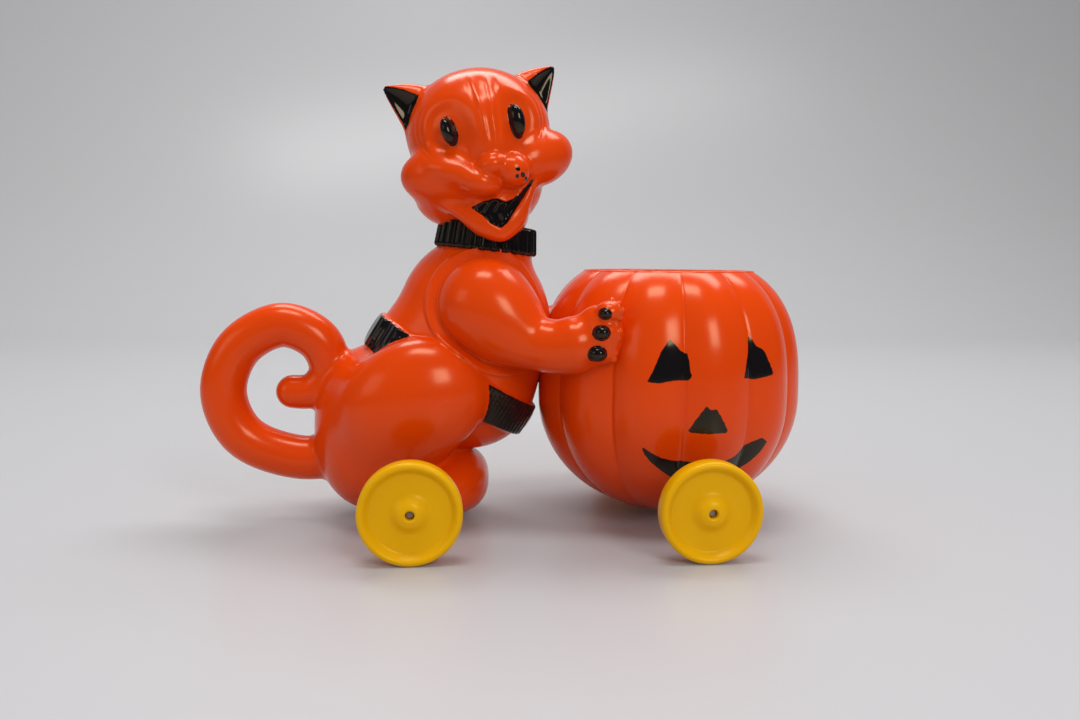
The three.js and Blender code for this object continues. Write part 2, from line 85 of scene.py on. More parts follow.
MM_PER_DEGREE = 0.72  # round the wall, where the face is painted
# Eyes, nose and mouth as corners on the wall: degrees round the pumpkin from the face's side, and height
PUMPKIN_PATCHES = (
    [(-21.3, 33.3), (-19.4, 35.8), (-17.6, 38.9), (-16.1, 41.7), (-14.2, 43.9), (-12.7, 45.2), (-10.6, 44),
     (-8.2, 42), (-6.4, 41.3), (-5.4, 41.4), (-4.7, 39.3), (-4.3, 36.6), (-3.4, 34.7), (-5.4, 33.7),
     (-10, 33.8), (-12.4, 33.6), (-17, 33)],
    [(18.9, 34.1), (20.6, 38.2), (22.6, 42.3), (24.1, 46), (25.2, 44.8), (26.7, 43), (30, 41.8), (31.5, 39.7),
     (33.1, 37.1), (34.6, 34.7), (30.3, 34.1), (25.1, 33.6)],
    [(-4.9, 19.1), (-2.2, 22.3), (0.4, 25.1), (2.2, 26.8), (3.7, 25.7), (6.1, 25.9), (7.9, 23.9),
     (10.1, 21.2), (12.1, 19), (7.6, 18.9), (1.8, 18.8)],
    [(-23.4, 15), (-19.8, 13.2), (-15.6, 11.6), (-10.4, 10.5), (-2.6, 10.1), (4.6, 9.8), (12.2, 10),
     (18.1, 11.3), (22.6, 14), (26.9, 15.4), (30.8, 16.3), (34.3, 14.9), (32.5, 11.9), (28.8, 8.7),
     (24.4, 6.3), (20.4, 4.4), (11, 3), (-0.4, 2.8), (-9.8, 4.6), (-15.5, 7.4), (-19.9, 10.2), (-22.3, 12.6)],
)

# Cat's lumps: middles and half sizes
TORSO = {"middle": (18.7, 0, 46), "half": (24, 22, 28)}
BELLY = {"middle": (11.6, 0, 31.1), "half": (27.2, 22, 22), "lean": 0.547}
RUMP = {"middle": (-8, 0, 14.5), "half": (22.5, 23.5, 26.5), "power": 2.3}
THIGH = {"middle": (1.8, 19.5, 26.2), "half": (20.7, 12, 17.6), "lean": -0.33}
FOOT = {"middle": (9.2, 0, -1.8), "half": (14.2, 25, 10.2), "power": 2.5}
BAND = {"middle": (11.6, 0, 31.1), "half": (28.7, 23.6, 28.6), "lean": 0.547}
BAND_WIDTH = 10.7
BAND_WEDGE = 2.2  # how far its lower edge drops towards the thigh
BAND_WEDGE_SPAN = ((-17, -4), (4, 10))  # places along it between which the drop grows, and fades
BAND_RIB_PITCH = 1.25
BAND_RIB = 0.14  # half the height of its fine ribs
BAND_FOLD = 0.5  # half the height of the folds behind
BAND_FOLDS_FROM = (8, 14)  # places along it between which the folds grow
FOLD_TURN = 1.1  # radians of a fold's wave for each millimetre
# The front patch starts at this X and height, on a line that leans this much
FRONT_PATCH = (19.4, 19.5)
FRONT_PATCH_LEAN = 0.244
BACK_PATCH = 1  # the X where the back patch ends
BELT_INSET = 0.2  # the paint stops this far inside the band's edges
BELT_DEPTH = 1  # and reaches this far into the band
BELT_TO_THIGH = 0.6  # and stops this far from the thigh
CLAW_PAINT = 0.3  # how far a claw's paint reaches past it
# Widths of the fillets where forms meet, and of rounded edges
FILLETS = {
    "belly": 6,
    "band": 0.9,
    "band_edge": 0.8,
    "thigh": 9,
    "tail": 2.2,
    "foot": 1.6,
    "haunch": 1.6,
    "neck": 2,
    "neck_top": 1,
    "palm": 2,
    "toe": 0.8,
    "tuft": 0.4,
    "claw": 0.4,
    "arm": 0.9,
    "lip": 2.4,
    "eye": 0.4,
    "ear": 1.6,
    "hollow": 0.8,
    "mouth": 0.6,
}
NECK_INSET = 2  # the neck is this much slimmer than the collar
NECK_SPAN = (50, 76)

# Tail, a tube in the moulding plane. Its path is in shares of the curl, from the middle of the curl
TAIL_MIDDLE = (-37.2, 25.8)
TAIL_CURL = 20.5
TAIL_RADIUS = 6.8
TAIL_TIP_RADIUS = 5
TAIL_TAPER_FROM = 0.72  # share of its length where it starts to thin
TAIL_PATH = [
    (1, -0.95), (0.05, -1), (-0.73, -0.66), (-1, 0), (-0.75, 0.67),
    (-0.12, 1), (0.41, 0.76), (0.55, 0.32), (0.31, 0.02), (-0.25, 0.02),
]

# Arms and paws
SHOULDER = (16.4, 13.2, 58.5)
SHOULDER_END = (-6, 0, 3)
SHOULDER_RADIUS = 14.3
WRIST_RADIUS = 7.8
ARM_SAG = 9
ARM_SPREAD = 2.7
ARM_THINS = (0.26, 0.66)  # shares of its length between which it thins to the wrist
ARM_SWELLS = (0.72, 0.92)  # and between which it swells to the paw
# The groove beside an arm and the lip beyond it: depth or height, distance from the arm, and width
ARM_GROOVE = (0.6, 0, 0.7)
ARM_LIP = (0.8, 2.2, 0.9)
ARM_LINE_END = 40  # the X where they end
PAW_ANGLE = 0.86
PAW_HEIGHT = 45.5
PAW_RADIUS = 8.8
PALM = {"middle": (-1.4, 1.4, 0.2), "half": (7.6, 6.2, 8.6)}
# Claws of one paw: along the pumpkin, out of it and up from the middle of the paw, and radius
CLAWS = [(3.2, 5.8, 6.6, 1.45), (2.6, 6.6, 1.3, 1.95), (1.2, 6.5, -4.7, 2.2)]
# Toes behind the claws, and the tufts of fur on a toe's edge as turns from its end
TOES = [(2.6, 2.6, 7.0), (2.2, 2.8, 1.2), (0.8, 2.6, -4.8)]
TOE_HALF = (3.9, 3.7, 3.1)
TUFTS = (-0.5, 0.1, 0.75, 1.4)
TUFT_RADIUS = 1.05

# Collar
COLLAR_MIDDLE = (22.6, 0, 73.4)
COLLAR_RADIUS = 16.1
COLLAR_HEIGHT = 8.3
COLLAR_THICKNESS = 6
COLLAR_TAPER = 0.7  # the collar is this much slimmer at its top
COLLAR_BEVEL = 1
COLLAR_LEAN = 0.105
COLLAR_WRINKLES = 79
COLLAR_WRINKLE = 0.22  # half their height
COLLAR_UNEVEN = (1.5, 5)  # how far the wrinkles shift to and fro, and how many times
COLLAR_STEPS = 720

# Head: places from its middle are to the viewer's right, backwards and up
HEAD_MIDDLE = (21.1, 0, 99.8)
HEAD_TURN = 0.07
HEAD_ROLL = 0.16
HEAD_LUMPS = [
    {"middle": (0, 1, 5.3), "half": (22, 20.5, 19.4), "fillet": 1},
    {"middle": (-0.8, -1, -9), "half": (16, 16.4, 17.5), "fillet": 5},
    {"middle": (-12, -1.5, -11.4), "half": (10.6, 10, 9.6), "fillet": 5},
    {"middle": (7.4, -1.5, -11), "half": (8.6, 9.4, 9), "fillet": 5},
    {"middle": (-14.4, -9, -6.4), "half": (12.6, 7.6, 8.4), "lean": 0.1, "turn": -0.5, "fillet": 3},
    {"middle": (15.4, -9, -5.2), "half": (12.4, 7.6, 8.2), "lean": -0.22, "turn": 0.5, "fillet": 2},
    {"middle": (0.8, -15.5, 1), "half": (5.4, 6, 12), "fillet": 3.5},
    {"middle": (0, -10.5, -20.5), "half": (9.6, 8.2, 7.4), "fillet": 3},
    {"middle": (-10.8, -14.2, -6.4), "half": (9.6, 5.6, 4.5), "lean": 0.4, "turn": -0.4, "fillet": 1.4},
    {"middle": (-4.2, -17.6, -10.6), "half": (6, 5.2, 4), "lean": 0.4, "fillet": 1.8},
    {"middle": (5.6, -17.6, -8.4), "half": (5.2, 5.6, 5), "lean": 0.3, "fillet": 1.4},
    {"middle": (-0.4, -18.6, -6.2), "half": (4.6, 5, 3.6), "lean": -0.3, "fillet": 1.4},
]
EYES = (
    {"middle": (-10.7, -15.6, 5.2), "half": (2.1, 3, 4.1), "turn": 0.5, "slant": 0.2},
    {"middle": (9.1, -16, 5.6), "half": (2.4, 3, 4.8), "turn": -0.5, "slant": 0.02},
)
SOCKET_HALF = (6.4, 8.2)
SOCKET_SHIFT = (0.6, 0.8)  # outwards and up from the eye's middle
SOCKET_DEPTH = 1.6
# Its slope starts and ends at these shares of its size, and this much farther out beside the nose
SOCKET_SLOPE = ((0.5, 1.04), (0.05, 0.3))
SOCKET_TO_NOSE = (-2, 5)
# Creases beside the eyes: how far out, in shares of the socket, and how deep
CROWS_FEET = ((1.18, 0.45), (1.36, 0.35))
CREASE_WIDTH = 0.42
CREASE_FAN = (0.45, 0.8)  # cosines of the directions between which they grow, from up to outwards
RIDGE_PITCH = 3.1
RIDGE_HEIGHT = 0.6
RIDGE_FAN = 0.03  # how much the ridges spread for each millimetre up
RIDGE_MIDDLE = (1.9, 7)
# The ridges fade out between these: in ridges to the left and right of the middle, and in height
RIDGE_SIDES = ((1.1, 1.6), (0.5, 0.9))
RIDGE_SPAN = ((-2, 3), (17, 22))
FACE_DEPTH = 8  # the relief fades out over this depth behind the face's front
LIP = [
    (-17, -7, -9.5), (-13.6, -11, -15), (-9.2, -13.6, -19.5), (-4.8, -15.4, -23.6), (-0.2, -16.4, -26),
    (4.2, -15.8, -23.4), (7.8, -14.8, -18.4), (11.4, -13.4, -13), (14, -12, -9),
]
LIP_RADIUS = 2.1
LIP_ENDS = 0.55  # share of its radius that the lip keeps at its ends
# Outline of the open mouth from the front, from its left corner round by the bottom
MOUTH = [
    (-7.6, -17), (-5, -19.6), (-2.8, -22.5), (-0.3, -24), (1.5, -23), (4.8, -19.4), (8.2, -15.8),
    (11.8, -11.8), (11.2, -11.6), (7.4, -15), (4.8, -16.4), (2.4, -17), (-0.3, -15.6), (-3.7, -15.9),
]
MOUTH_MIDDLE = -18
MOUTH_HALF = (12, 8)
MOUTH_BOUND = 4  # farther from the mouth's middle than this, its distance is rough
MOUTH_FLOOR = -15.4
# Waves on the mouth's floor: height, turn for each millimetre across and up, and how they wander
MOUTH_WAVES = (0.3, 1.9, -0.7, 1.4, 0.9)
# How far the paint reaches past the eyes, the hollows of the ears and the mouth
EYE_PAINT, HOLLOW_PAINT, MOUTH_PAINT = 0.35, 0.4, 0.15
MOUTH_PAINT_BACK, SPECKS_BACK = -11, -14  # the paint of the mouth and the specks ends here, to the back
# Painted specks on the nose: place from the front, and radius
SPECKS = (((6.3, -8.4), 0.7), ((5.9, -10.4), 0.6), ((7.6, -10.2), 0.75), ((8.9, -11.4), 0.6))
EAR_ROOT = (13.4, 1, 9.8)
EAR_LENGTH = 18.8
EAR_RADIUS = 9.4
EAR_FLATNESS = 0.55
EAR_LEAN = 0.82
EAR_SWELL = 0.6
EAR_SLOPE = 0.62  # turns an ear's gauge into a distance
HOLLOW_SHIFT = (0.42, 0.62)  # outwards and forwards, in shares of the ear's radius
HOLLOW_HALF = (0.74, 0.52)
HOLLOW_SLOPE = 0.5

# Grids that hold the body and the head, and the fine groove where the halves meet
BODY_BOX = ((-66, -41, -13.6), (62, 41, 78))
HEAD_BOX = ((-12, -30, 66), (56, 26, 128))
SMOOTHING_ROUNDS = 3
SEAM_HALF_WIDTH = 0.28

# Wheels and axles
WHEEL_WIDTH = 6
HUB_PROUD = 0.1
HUB_FOOT = 0.6  # the foot of the hub's cone is this much wider than its radius
HUB_CROWN = (0.25, 0.08)  # the flat top of the hub is this much narrower and higher than its cone
BORE_BEVEL = (0.2, 0.15)
LIP_SLOPE = 1.2  # how far the slope from the lip to the web runs
WHEEL_BACK = 0.2  # the outer face lies this far behind the CAD's hub
BORE_GAP = 0.1
AXLE_EDGE = 0.3
AXLE_STEPS, WHEEL_STEPS = 32, 128

# Finishes. Noise textures have a scale, a detail and a roughness
STREAKS = (34, 3, 0.55)
STREAK_CONTRAST = (1.6, -0.3)
MARKS = (900, 4, 0.65)
MARKS_ROUGHEN = 0.12
WAVES = (130, 2, 0.5)
WAVE_HEIGHT = 0.0004  # in metres
WOBBLE = (900, 3, 0.6)
CHIPS = (1500, 2, 0.5)
CHIPS_FROM = 0.78
PAINT_SHARPNESS = 6.0  # of the paint's edge, for each millimetre
TARNISH_PATCHES = (700, 4, 0.7)
TARNISH_ROUGHENS = 0.3
PLASTIC_IOR = 1.46
PAINT_ROUGHNESS = 0.5  # of the paint, in shares of the plastic's
PAINT_WOBBLE = 0.5  # how far the paint's edge wanders, in millimetres
PAINT_CHIPS = 0.1
WAVINESS = 0.06
YELLOW_ROUGHNESS = 0.32
STEEL_ROUGHNESS = 0.3
TARNISH = (0.16, 0.09, 0.05, 1)

# Stage, in metres: the floor's front edge and the backdrop behind, with a round bend between them
FLOOR_FRONT = -1.6
BACKDROP_AWAY = 1.1
BACKDROP_BEND = 0.5
BACKDROP_HEIGHT = 2.2
BACKDROP_HALF = 2.5
FLOOR_ROUGHNESS = 0.35
LAMP_TARGET = (0, 0, 0.07)
# Lamps: name, place, width and height, and power in shares of the key light's
LAMPS = (
    ("window", (0.4, -0.95, 0.6), (0.34, 0.42), 1),
    ("ceiling", (-0.05, -0.17, 1.0), (0.42, 0.22), 0.8),
    ("side", (-1.0, -0.5, 0.5), (0.5, 0.5), 0.25),
    ("back", (0.2, 0.5, 1.15), (1.4, 0.4), 3.1),
)


def smooth_min(a, b, fillet):
    """The smaller of two distances, with a fillet a quarter as deep as its width where they are close."""
    near = np.maximum(fillet - np.abs(a - b), 0) / fillet
    return np.minimum(a, b) - near * near * fillet / 4


def smooth_max(a, b, fillet):
    """The larger of two distances, with a rounded edge where they are close."""
    return -smooth_min(-a, -b, fillet)


def turned(p, angle, first, second):
    """Points turned by an angle in the plane of two axes, from the first axis towards the second."""
    out = p.copy()
    c, s = math.cos(angle), math.sin(angle)
    out[..., first] = p[..., first] * c - p[..., second] * s
    out[..., second] = p[..., first] * s + p[..., second] * c
    return out


def lump(p, middle, half, lean=0.0, turn=0.0, power=2.0, **_):
    """Distance to a superellipsoid: its gauge (|x/a|^n + |z/c|^n)^(2/n) + (y/b)^2, less one, over its slope.
    It leans by turning from its own Z towards X, and then turns from X towards Y. What else a form's row
    holds is passed over."""
    q = p - np.asarray(middle, np.float32)
    if turn:
        q = turned(q, -turn, 0, 1)
    if lean:
        q = turned(q, -lean, 2, 0)
    u, v, w = (np.abs(q[..., i]) / half[i] for i in range(3))
    u, w = np.maximum(u, 1e-4), np.maximum(w, 1e-4)
    flat = u**power + w**power
    gauge = np.sqrt(flat ** (2 / power) + v * v)
    share = flat ** (2 / power - 1)
    slope = np.sqrt(
        (share * u ** (power - 1) / half[0]) ** 2
        + (v / half[1]) ** 2
        + (share * w ** (power - 1) / half[2]) ** 2
    ) / gauge
    return (gauge - 1) / slope


def smooth_path(points, steps):
    """Centripetal Catmull-Rom curve through points, as places at equal steps of its length."""
    pts = np.asarray(points, float)
    pts = np.vstack([2 * pts[0] - pts[1], pts, 2 * pts[-1] - pts[-2]])
    s = np.linspace(0, 1, 40)[:, None]
    rows = []
    for p0, p1, p2, p3 in zip(pts, pts[1:], pts[2:], pts[3:]):
        a, b, c = (np.linalg.norm(q - p) ** 0.5 for p, q in ((p0, p1), (p1, p2), (p2, p3)))
        start = p2 - p1 + b * ((p1 - p0) / a - (p2 - p0) / (a + b))
        end = p2 - p1 + b * ((p3 - p2) / c - (p3 - p1) / (b + c))
        rows.append(
            (2 * s**3 - 3 * s**2 + 1) * p1
            + (s**3 - 2 * s**2 + s) * start
            + (3 * s**2 - 2 * s**3) * p2
            + (s**3 - s**2) * end
        )
    dense = np.vstack(rows)
    length = np.r_[0, np.cumsum(np.linalg.norm(np.diff(dense, axis=0), axis=1))]
    wanted = np.linspace(0, length[-1], steps)
    return np.column_stack([np.interp(wanted, length, dense[:, i]) for i in range(3)]), length[-1]


def smoothstep(t, low, high):
    """Cubic step from 0 at low to 1 at high."""
    s = np.clip((t - low) / (high - low), 0, 1)
    return s * s * (3 - 2 * s)


def round_tube(points, radius_at, steps=90):
    """A tube along a path with round ends that stay inside the path: its places and radii."""
    path, length = smooth_path(points, steps)
    t = np.linspace(0, 1, steps)
    radii = radius_at(t)
    keep = (t * length >= radii[0]) & ((1 - t) * length >= radii[-1])
    return path[keep], radii[keep]


def tube(p, path, radii, margin=6.0):
    """Distance to a chain of cones along a path. Farther than the margin it is only the margin."""
    low = path.min(0) - radii.max() - margin
    high = path.max(0) + radii.max() + margin
    near = np.all((p > low) & (p < high), axis=-1)
    out = np.full(p.shape[:-1], margin, np.float32)
    q = p[near]
    best = np.full(len(q), margin, np.float32)
    for a, b, ra, rb in zip(path, path[1:], radii, radii[1:]):
        along = (b - a).astype(np.float32)
        rel = q - a.astype(np.float32)
        t = np.clip(rel @ along / (along @ along), 0, 1)
        gap = np.linalg.norm(rel - t[:, None] * along, axis=1) - (ra + t * (rb - ra))
        best = np.minimum(best, gap)
    out[near] = best
    return out


def pumpkin_radius(z, inset=0.0):
    """Radius of the pumpkin at a height: an ellipse below its belly and a squarer curve above it."""
    rise = np.asarray(z, float) - PUMPKIN_BELLY_HEIGHT
    low = (PUMPKIN_RADIUS - inset) * np.sqrt(np.clip(1 - (rise / (PUMPKIN_LOWER - inset)) ** 2, 0, 1))
    left = np.clip(1 - (np.maximum(rise, 0) / PUMPKIN_UPPER) ** PUMPKIN_UPPER_POWER, 0, 1)
    return np.where(rise < 0, low, PUMPKIN_RADIUS * left ** (1 / PUMPKIN_UPPER_POWER) - inset)


def paw_place():
    """Middle of the left paw, on the pumpkin's wall."""
    reach = float(pumpkin_radius(PAW_HEIGHT)) - 1
    return np.array([WHEELBASE - reach * math.cos(PAW_ANGLE), reach * math.sin(PAW_ANGLE), PAW_HEIGHT])


def arm_tube():
    """Left arm: from behind the shoulder, in a bow, to the paw, thinning to the wrist and swelling again."""
    shoulder, paw = np.array(SHOULDER), paw_place()
    t = np.linspace(0, 1, 7)[:, None]
    bow = np.sin(np.pi * t) * np.array([0, ARM_SPREAD, -ARM_SAG])
    points = np.vstack([shoulder + np.array(SHOULDER_END), shoulder + t * (paw - shoulder) + bow])

    def radius_at(t):
        upper = SHOULDER_RADIUS + (WRIST_RADIUS - SHOULDER_RADIUS) * smoothstep(t, *ARM_THINS)
        return upper + (PAW_RADIUS - upper) * smoothstep(t, *ARM_SWELLS)

    return round_tube(points, radius_at)


def tail_tube():
    """Tail: out of the rump, round the curl and back into its middle, thinning to its tip."""
    points = [(TAIL_MIDDLE[0] + x * TAIL_CURL, 0, TAIL_MIDDLE[1] + z * TAIL_CURL) for x, z in TAIL_PATH]

    def radius_at(t):
        return TAIL_RADIUS + (TAIL_TIP_RADIUS - TAIL_RADIUS) * smoothstep(t, TAIL_TAPER_FROM, 1)

    return round_tube(points, radius_at, 160)


def lip_tube():
    """The raised lip that runs under the mouth from cheek to cheek, thinning to its ends."""
    return round_tube(LIP, lambda t: LIP_RADIUS * (LIP_ENDS + (1 - LIP_ENDS) * np.sin(np.pi * t)))


ARM = arm_tube()
TAIL = tail_tube()
LIP_TUBE = lip_tube()


def in_paw(p):
    """Points of the left side in the paw's own axes: along the pumpkin, out of it and up."""
    return turned(p - paw_place().astype(np.float32), -(math.pi / 2 - PAW_ANGLE), 0, 1)


def claws(p):
    """Distance to the claws of a paw, in the paw's own axes."""
    best = None
    for along, out, up, radius in CLAWS:
        gap = lump(p, (along, out, up), (1.25 * radius, radius, radius))
        best = gap if best is None else smooth_min(best, gap, FILLETS["claw"])
    return best


def band_axes(p):
    """Places along and across the waistband in side view. Across it, the edges lie at half its width, and
    the lower edge drops a little towards the thigh."""
    x, z = p[..., 0] - BAND["middle"][0], p[..., 2] - BAND["middle"][2]
    c, s = math.cos(BAND["lean"]), math.sin(BAND["lean"])
    along, across = x * c - z * s, x * s + z * c
    grows, fades = BAND_WEDGE_SPAN
    drop = BAND_WEDGE * smoothstep(-along, *grows) * (1 - smoothstep(-along, *fades))
    return along, np.where(across < 0, across + drop, across)


def band(p):
    """Distance to the waistband: the belly, a little larger, between two planes, with fine upright ribs
    and, behind, deeper folds."""
    along, across = band_axes(p)
    ribs = BAND_RIB * np.cos(2 * np.pi * along / BAND_RIB_PITCH)
    folds = BAND_FOLD * np.sin(along * FOLD_TURN) * smoothstep(-along, *BAND_FOLDS_FROM)
    ribbed = lump(p, **BAND) - ribs - folds
    return smooth_max(ribbed, np.abs(across) - BAND_WIDTH / 2, FILLETS["band_edge"])


def beside_arm(away, line):
    """A soft line beside the arms, as a bell curve of the distance from them."""
    size, middle, width = line
    return size * np.exp(-(((away - middle) / width) ** 2))


def body(p):
    """Distance to the cat below its collar, with soft creases where its lumps meet."""
    p = p.copy()
    p[..., 1] = np.abs(p[..., 1])
    whole = smooth_min(lump(p, **TORSO), lump(p, **BELLY), FILLETS["belly"])
    whole = smooth_min(whole, band(p), FILLETS["band"])
    haunch = smooth_min(lump(p, **RUMP), lump(p, **THIGH), FILLETS["thigh"])
    haunch = smooth_min(haunch, tube(p, *TAIL), FILLETS["tail"])
    haunch = smooth_min(haunch, lump(p, **FOOT), FILLETS["foot"])
    whole = smooth_min(whole, haunch, FILLETS["haunch"])
    round_neck = np.hypot(p[..., 0] - COLLAR_MIDDLE[0], p[..., 1]) - COLLAR_RADIUS + NECK_INSET
    neck = smooth_max(round_neck, p[..., 2] - NECK_SPAN[1], FILLETS["neck_top"])
    whole = smooth_min(whole, np.maximum(neck, NECK_SPAN[0] - p[..., 2]), FILLETS["neck"])
    hand = in_paw(p)
    arm = smooth_min(tube(p, *ARM), lump(hand, **PALM), FILLETS["palm"])
    for toe in TOES:
        arm = smooth_min(arm, lump(hand, toe, TOE_HALF), FILLETS["toe"])
        for turn in TUFTS:
            edge = np.array([math.cos(turn), -0.1, math.sin(turn)]) * TOE_HALF
            arm = smooth_min(arm, lump(hand, toe + edge, (TUFT_RADIUS,) * 3), FILLETS["tuft"])
    arm = smooth_min(arm, claws(hand), FILLETS["claw"])
    away = arm - whole
    line = beside_arm(away, ARM_GROOVE) - beside_arm(away, ARM_LIP)
    whole = smooth_min(whole, arm, FILLETS["arm"]) + line * (p[..., 0] < ARM_LINE_END)
    hole = np.hypot(p[..., 0], p[..., 2]) - AXLE_HOLE_RADIUS
    return np.maximum(whole, -hole)


def body_paint(p):
    """Distance to the painted places of the body: the waistband and the claws."""
    p = p.copy()
    p[..., 1] = np.abs(p[..., 1])
    edge = np.abs(band_axes(p)[1]) - BAND_WIDTH / 2 + BELT_INSET
    belt = np.maximum(edge, np.abs(lump(p, **BAND)) - BELT_DEPTH)
    belt = np.maximum(belt, BELT_TO_THIGH - lump(p, **THIGH))
    front = FRONT_PATCH[0] + (p[..., 2] - FRONT_PATCH[1]) * FRONT_PATCH_LEAN - p[..., 0]
    belt = np.maximum(belt, np.minimum(front, p[..., 0] - BACK_PATCH))
    return np.minimum(belt, claws(in_paw(p)) - CLAW_PAINT)


def to_head(p):
    """Points in the head's own axes: to the viewer's right, backwards and up."""
    q = turned(p - np.asarray(HEAD_MIDDLE, np.float32), -HEAD_TURN, 0, 1)
    return turned(q, HEAD_ROLL, 2, 0)


def mirrored(p, side):
    """Points with the side axis turned over for the left piece of a pair."""
    return p * np.array([side, 1, 1], np.float32)


def eyes(p):
    """Distance to the two upright ovals of the eyes, each leaning a little to the nose."""
    best = None
    for eye in EYES:
        q = p - np.asarray(eye["middle"], np.float32)
        q = turned(turned(q, eye["turn"], 0, 1), eye["slant"], 2, 0)
        gap = lump(q, (0, 0, 0), eye["half"])
        best = gap if best is None else np.minimum(best, gap)
    return best


def outline(x, z, corners):
    """Signed distance in the plane to a closed line through corners: the nearest side, inside negative."""
    best = np.full(x.shape, 1e6, np.float32)
    inside = np.zeros(x.shape, bool)
    for (ax, az), (bx, bz) in zip(corners, corners[1:] + corners[:1]):
        dx, dz = bx - ax, bz - az
        t = np.clip(((x - ax) * dx + (z - az) * dz) / (dx * dx + dz * dz), 0, 1)
        best = np.minimum(best, np.hypot(x - ax - t * dx, z - az - t * dz))
        if az != bz:
            inside ^= ((az > z) != (bz > z)) & (x < ax + (z - az) * dx / dz)
    return np.where(inside, -best, best)


def mouth_gap(p):
    """Distance, seen from the front, to the mouth's outline. Away from the mouth it is a rough bound."""
    x, z = p[..., 0], p[..., 2]
    out = np.maximum(np.abs(x) - MOUTH_HALF[0], np.abs(z - MOUTH_MIDDLE) - MOUTH_HALF[1]).astype(np.float32)
    near = out < MOUTH_BOUND
    out[near] = outline(x[near], z[near], MOUTH)
    return np.where(near, out, np.maximum(out, MOUTH_BOUND))


def face_relief(p):
    """How far the face is drawn in: two eye sockets with creases beside them, and the valleys between
    three ridges that fan up the forehead."""
    x, z = p[..., 0], p[..., 2]
    depth = np.zeros(x.shape, np.float32)
    for eye, side in zip(EYES, (-1, 1)):
        across = side * (x - eye["middle"][0]) - SOCKET_SHIFT[0]
        rise = z - eye["middle"][2] - SOCKET_SHIFT[1]
        r = np.hypot(across / SOCKET_HALF[0], rise / SOCKET_HALF[1])
        inner = smoothstep(-across, *SOCKET_TO_NOSE)
        low, high = (share + farther * inner for share, farther in zip(*SOCKET_SLOPE))
        depth += SOCKET_DEPTH * (1 - smoothstep(r, low, high))
        outside = smoothstep(across / np.maximum(np.hypot(across, rise), 0.1), *CREASE_FAN)
        for reach, groove in CROWS_FEET:
            depth += groove * outside * np.exp(-(((r - reach) * SOCKET_HALF[0] / CREASE_WIDTH) ** 2))
    rise = z - RIDGE_MIDDLE[1]
    fan = (x - RIDGE_MIDDLE[0] - 0.05 * rise) / (RIDGE_PITCH * (1 + RIDGE_FAN * rise))
    window = (1 - smoothstep(-fan, *RIDGE_SIDES[0])) * (1 - smoothstep(fan, *RIDGE_SIDES[1]))
    window = window * smoothstep(z, *RIDGE_SPAN[0]) * (1 - smoothstep(z, *RIDGE_SPAN[1]))
    depth += RIDGE_HEIGHT * (np.sqrt(np.sin(np.pi * fan) ** 2 + 0.04) - 0.2) * window
    return depth * np.clip(-p[..., 1] / FACE_DEPTH, 0, 1)


def ear_parts(p):
    """Distances to the two ears and to the hollows of their fronts. An ear is a flattened cone whose
    sides swell, bowed so that only its inner side shows it. Its hollow is the same cone, smaller, about
    the same tip, and moved outwards and forwards."""
    ears, hollows = None, None
    for side in (-1, 1):
        q = turned(mirrored(p, side) - np.asarray(EAR_ROOT, np.float32), -EAR_LEAN, 2, 0)
        t = np.clip(q[..., 2] / EAR_LENGTH, -0.3, 1)
        swell = 1 - t + EAR_SWELL * np.clip(t, 0, 1) * (1 - t)
        radius = EAR_RADIUS * np.maximum(swell, 0.01)
        x = q[..., 0] + EAR_RADIUS * EAR_SWELL * np.clip(t, 0, 1) * (1 - t)
        ear = np.hypot(x, q[..., 1] / EAR_FLATNESS) - radius
        ear = np.maximum(ear * EAR_SLOPE, np.abs(q[..., 2] - EAR_LENGTH / 2 + 1) - EAR_LENGTH / 2 - 1)
        across = (x - HOLLOW_SHIFT[0] * radius) / HOLLOW_HALF[0]
        back = (q[..., 1] + HOLLOW_SHIFT[1] * radius) / HOLLOW_HALF[1]
        hollow = np.maximum((np.hypot(across, back) - radius) * HOLLOW_SLOPE, -0.6 - q[..., 2])
        ears = ear if ears is None else np.minimum(ears, ear)
        hollows = hollow if hollows is None else np.minimum(hollows, hollow)
    return ears, hollows


def head(p):
    """Distance to the head: lumps drawn in at the sockets, with eyes, hollow ears and an open mouth."""
    q = to_head(p)
    face = q.copy()
    face[..., 1] -= face_relief(q)
    whole = None
    for form in HEAD_LUMPS:
        gap = lump(face, **form)
        whole = gap if whole is None else smooth_min(whole, gap, form["fillet"])
    whole = smooth_min(whole, tube(q, *LIP_TUBE), FILLETS["lip"])
    whole = smooth_min(whole, eyes(q), FILLETS["eye"])
    ear, hollow = ear_parts(q)
    whole = smooth_min(whole, smooth_max(ear, -hollow, FILLETS["hollow"]), FILLETS["ear"])
    height, across, up, wander, pace = MOUTH_WAVES
    waves = height * np.sin(q[..., 0] * across + q[..., 2] * up + wander * np.sin(q[..., 2] * pace))
    mouth = smooth_max(mouth_gap(q), q[..., 1] - MOUTH_FLOOR - waves, FILLETS["mouth"])
    return smooth_max(whole, -mouth, FILLETS["mouth"])


def head_paint(p):
    """Distance to the painted places of the head: eyes, mouth, ear hollows and the specks on the nose."""
    q = to_head(p)
    ear, hollow = ear_parts(q)
    black = np.minimum(eyes(q) - EYE_PAINT, np.maximum(hollow, ear) - HOLLOW_PAINT)
    black = np.minimum(black, np.maximum(mouth_gap(q) - MOUTH_PAINT, q[..., 1] - MOUTH_PAINT_BACK))
    for (x, z), radius in SPECKS:
        speck = np.hypot(q[..., 0] - x, q[..., 2] - z) - radius
        black = np.minimum(black, np.maximum(speck, q[..., 1] - SPECKS_BACK))
    return black


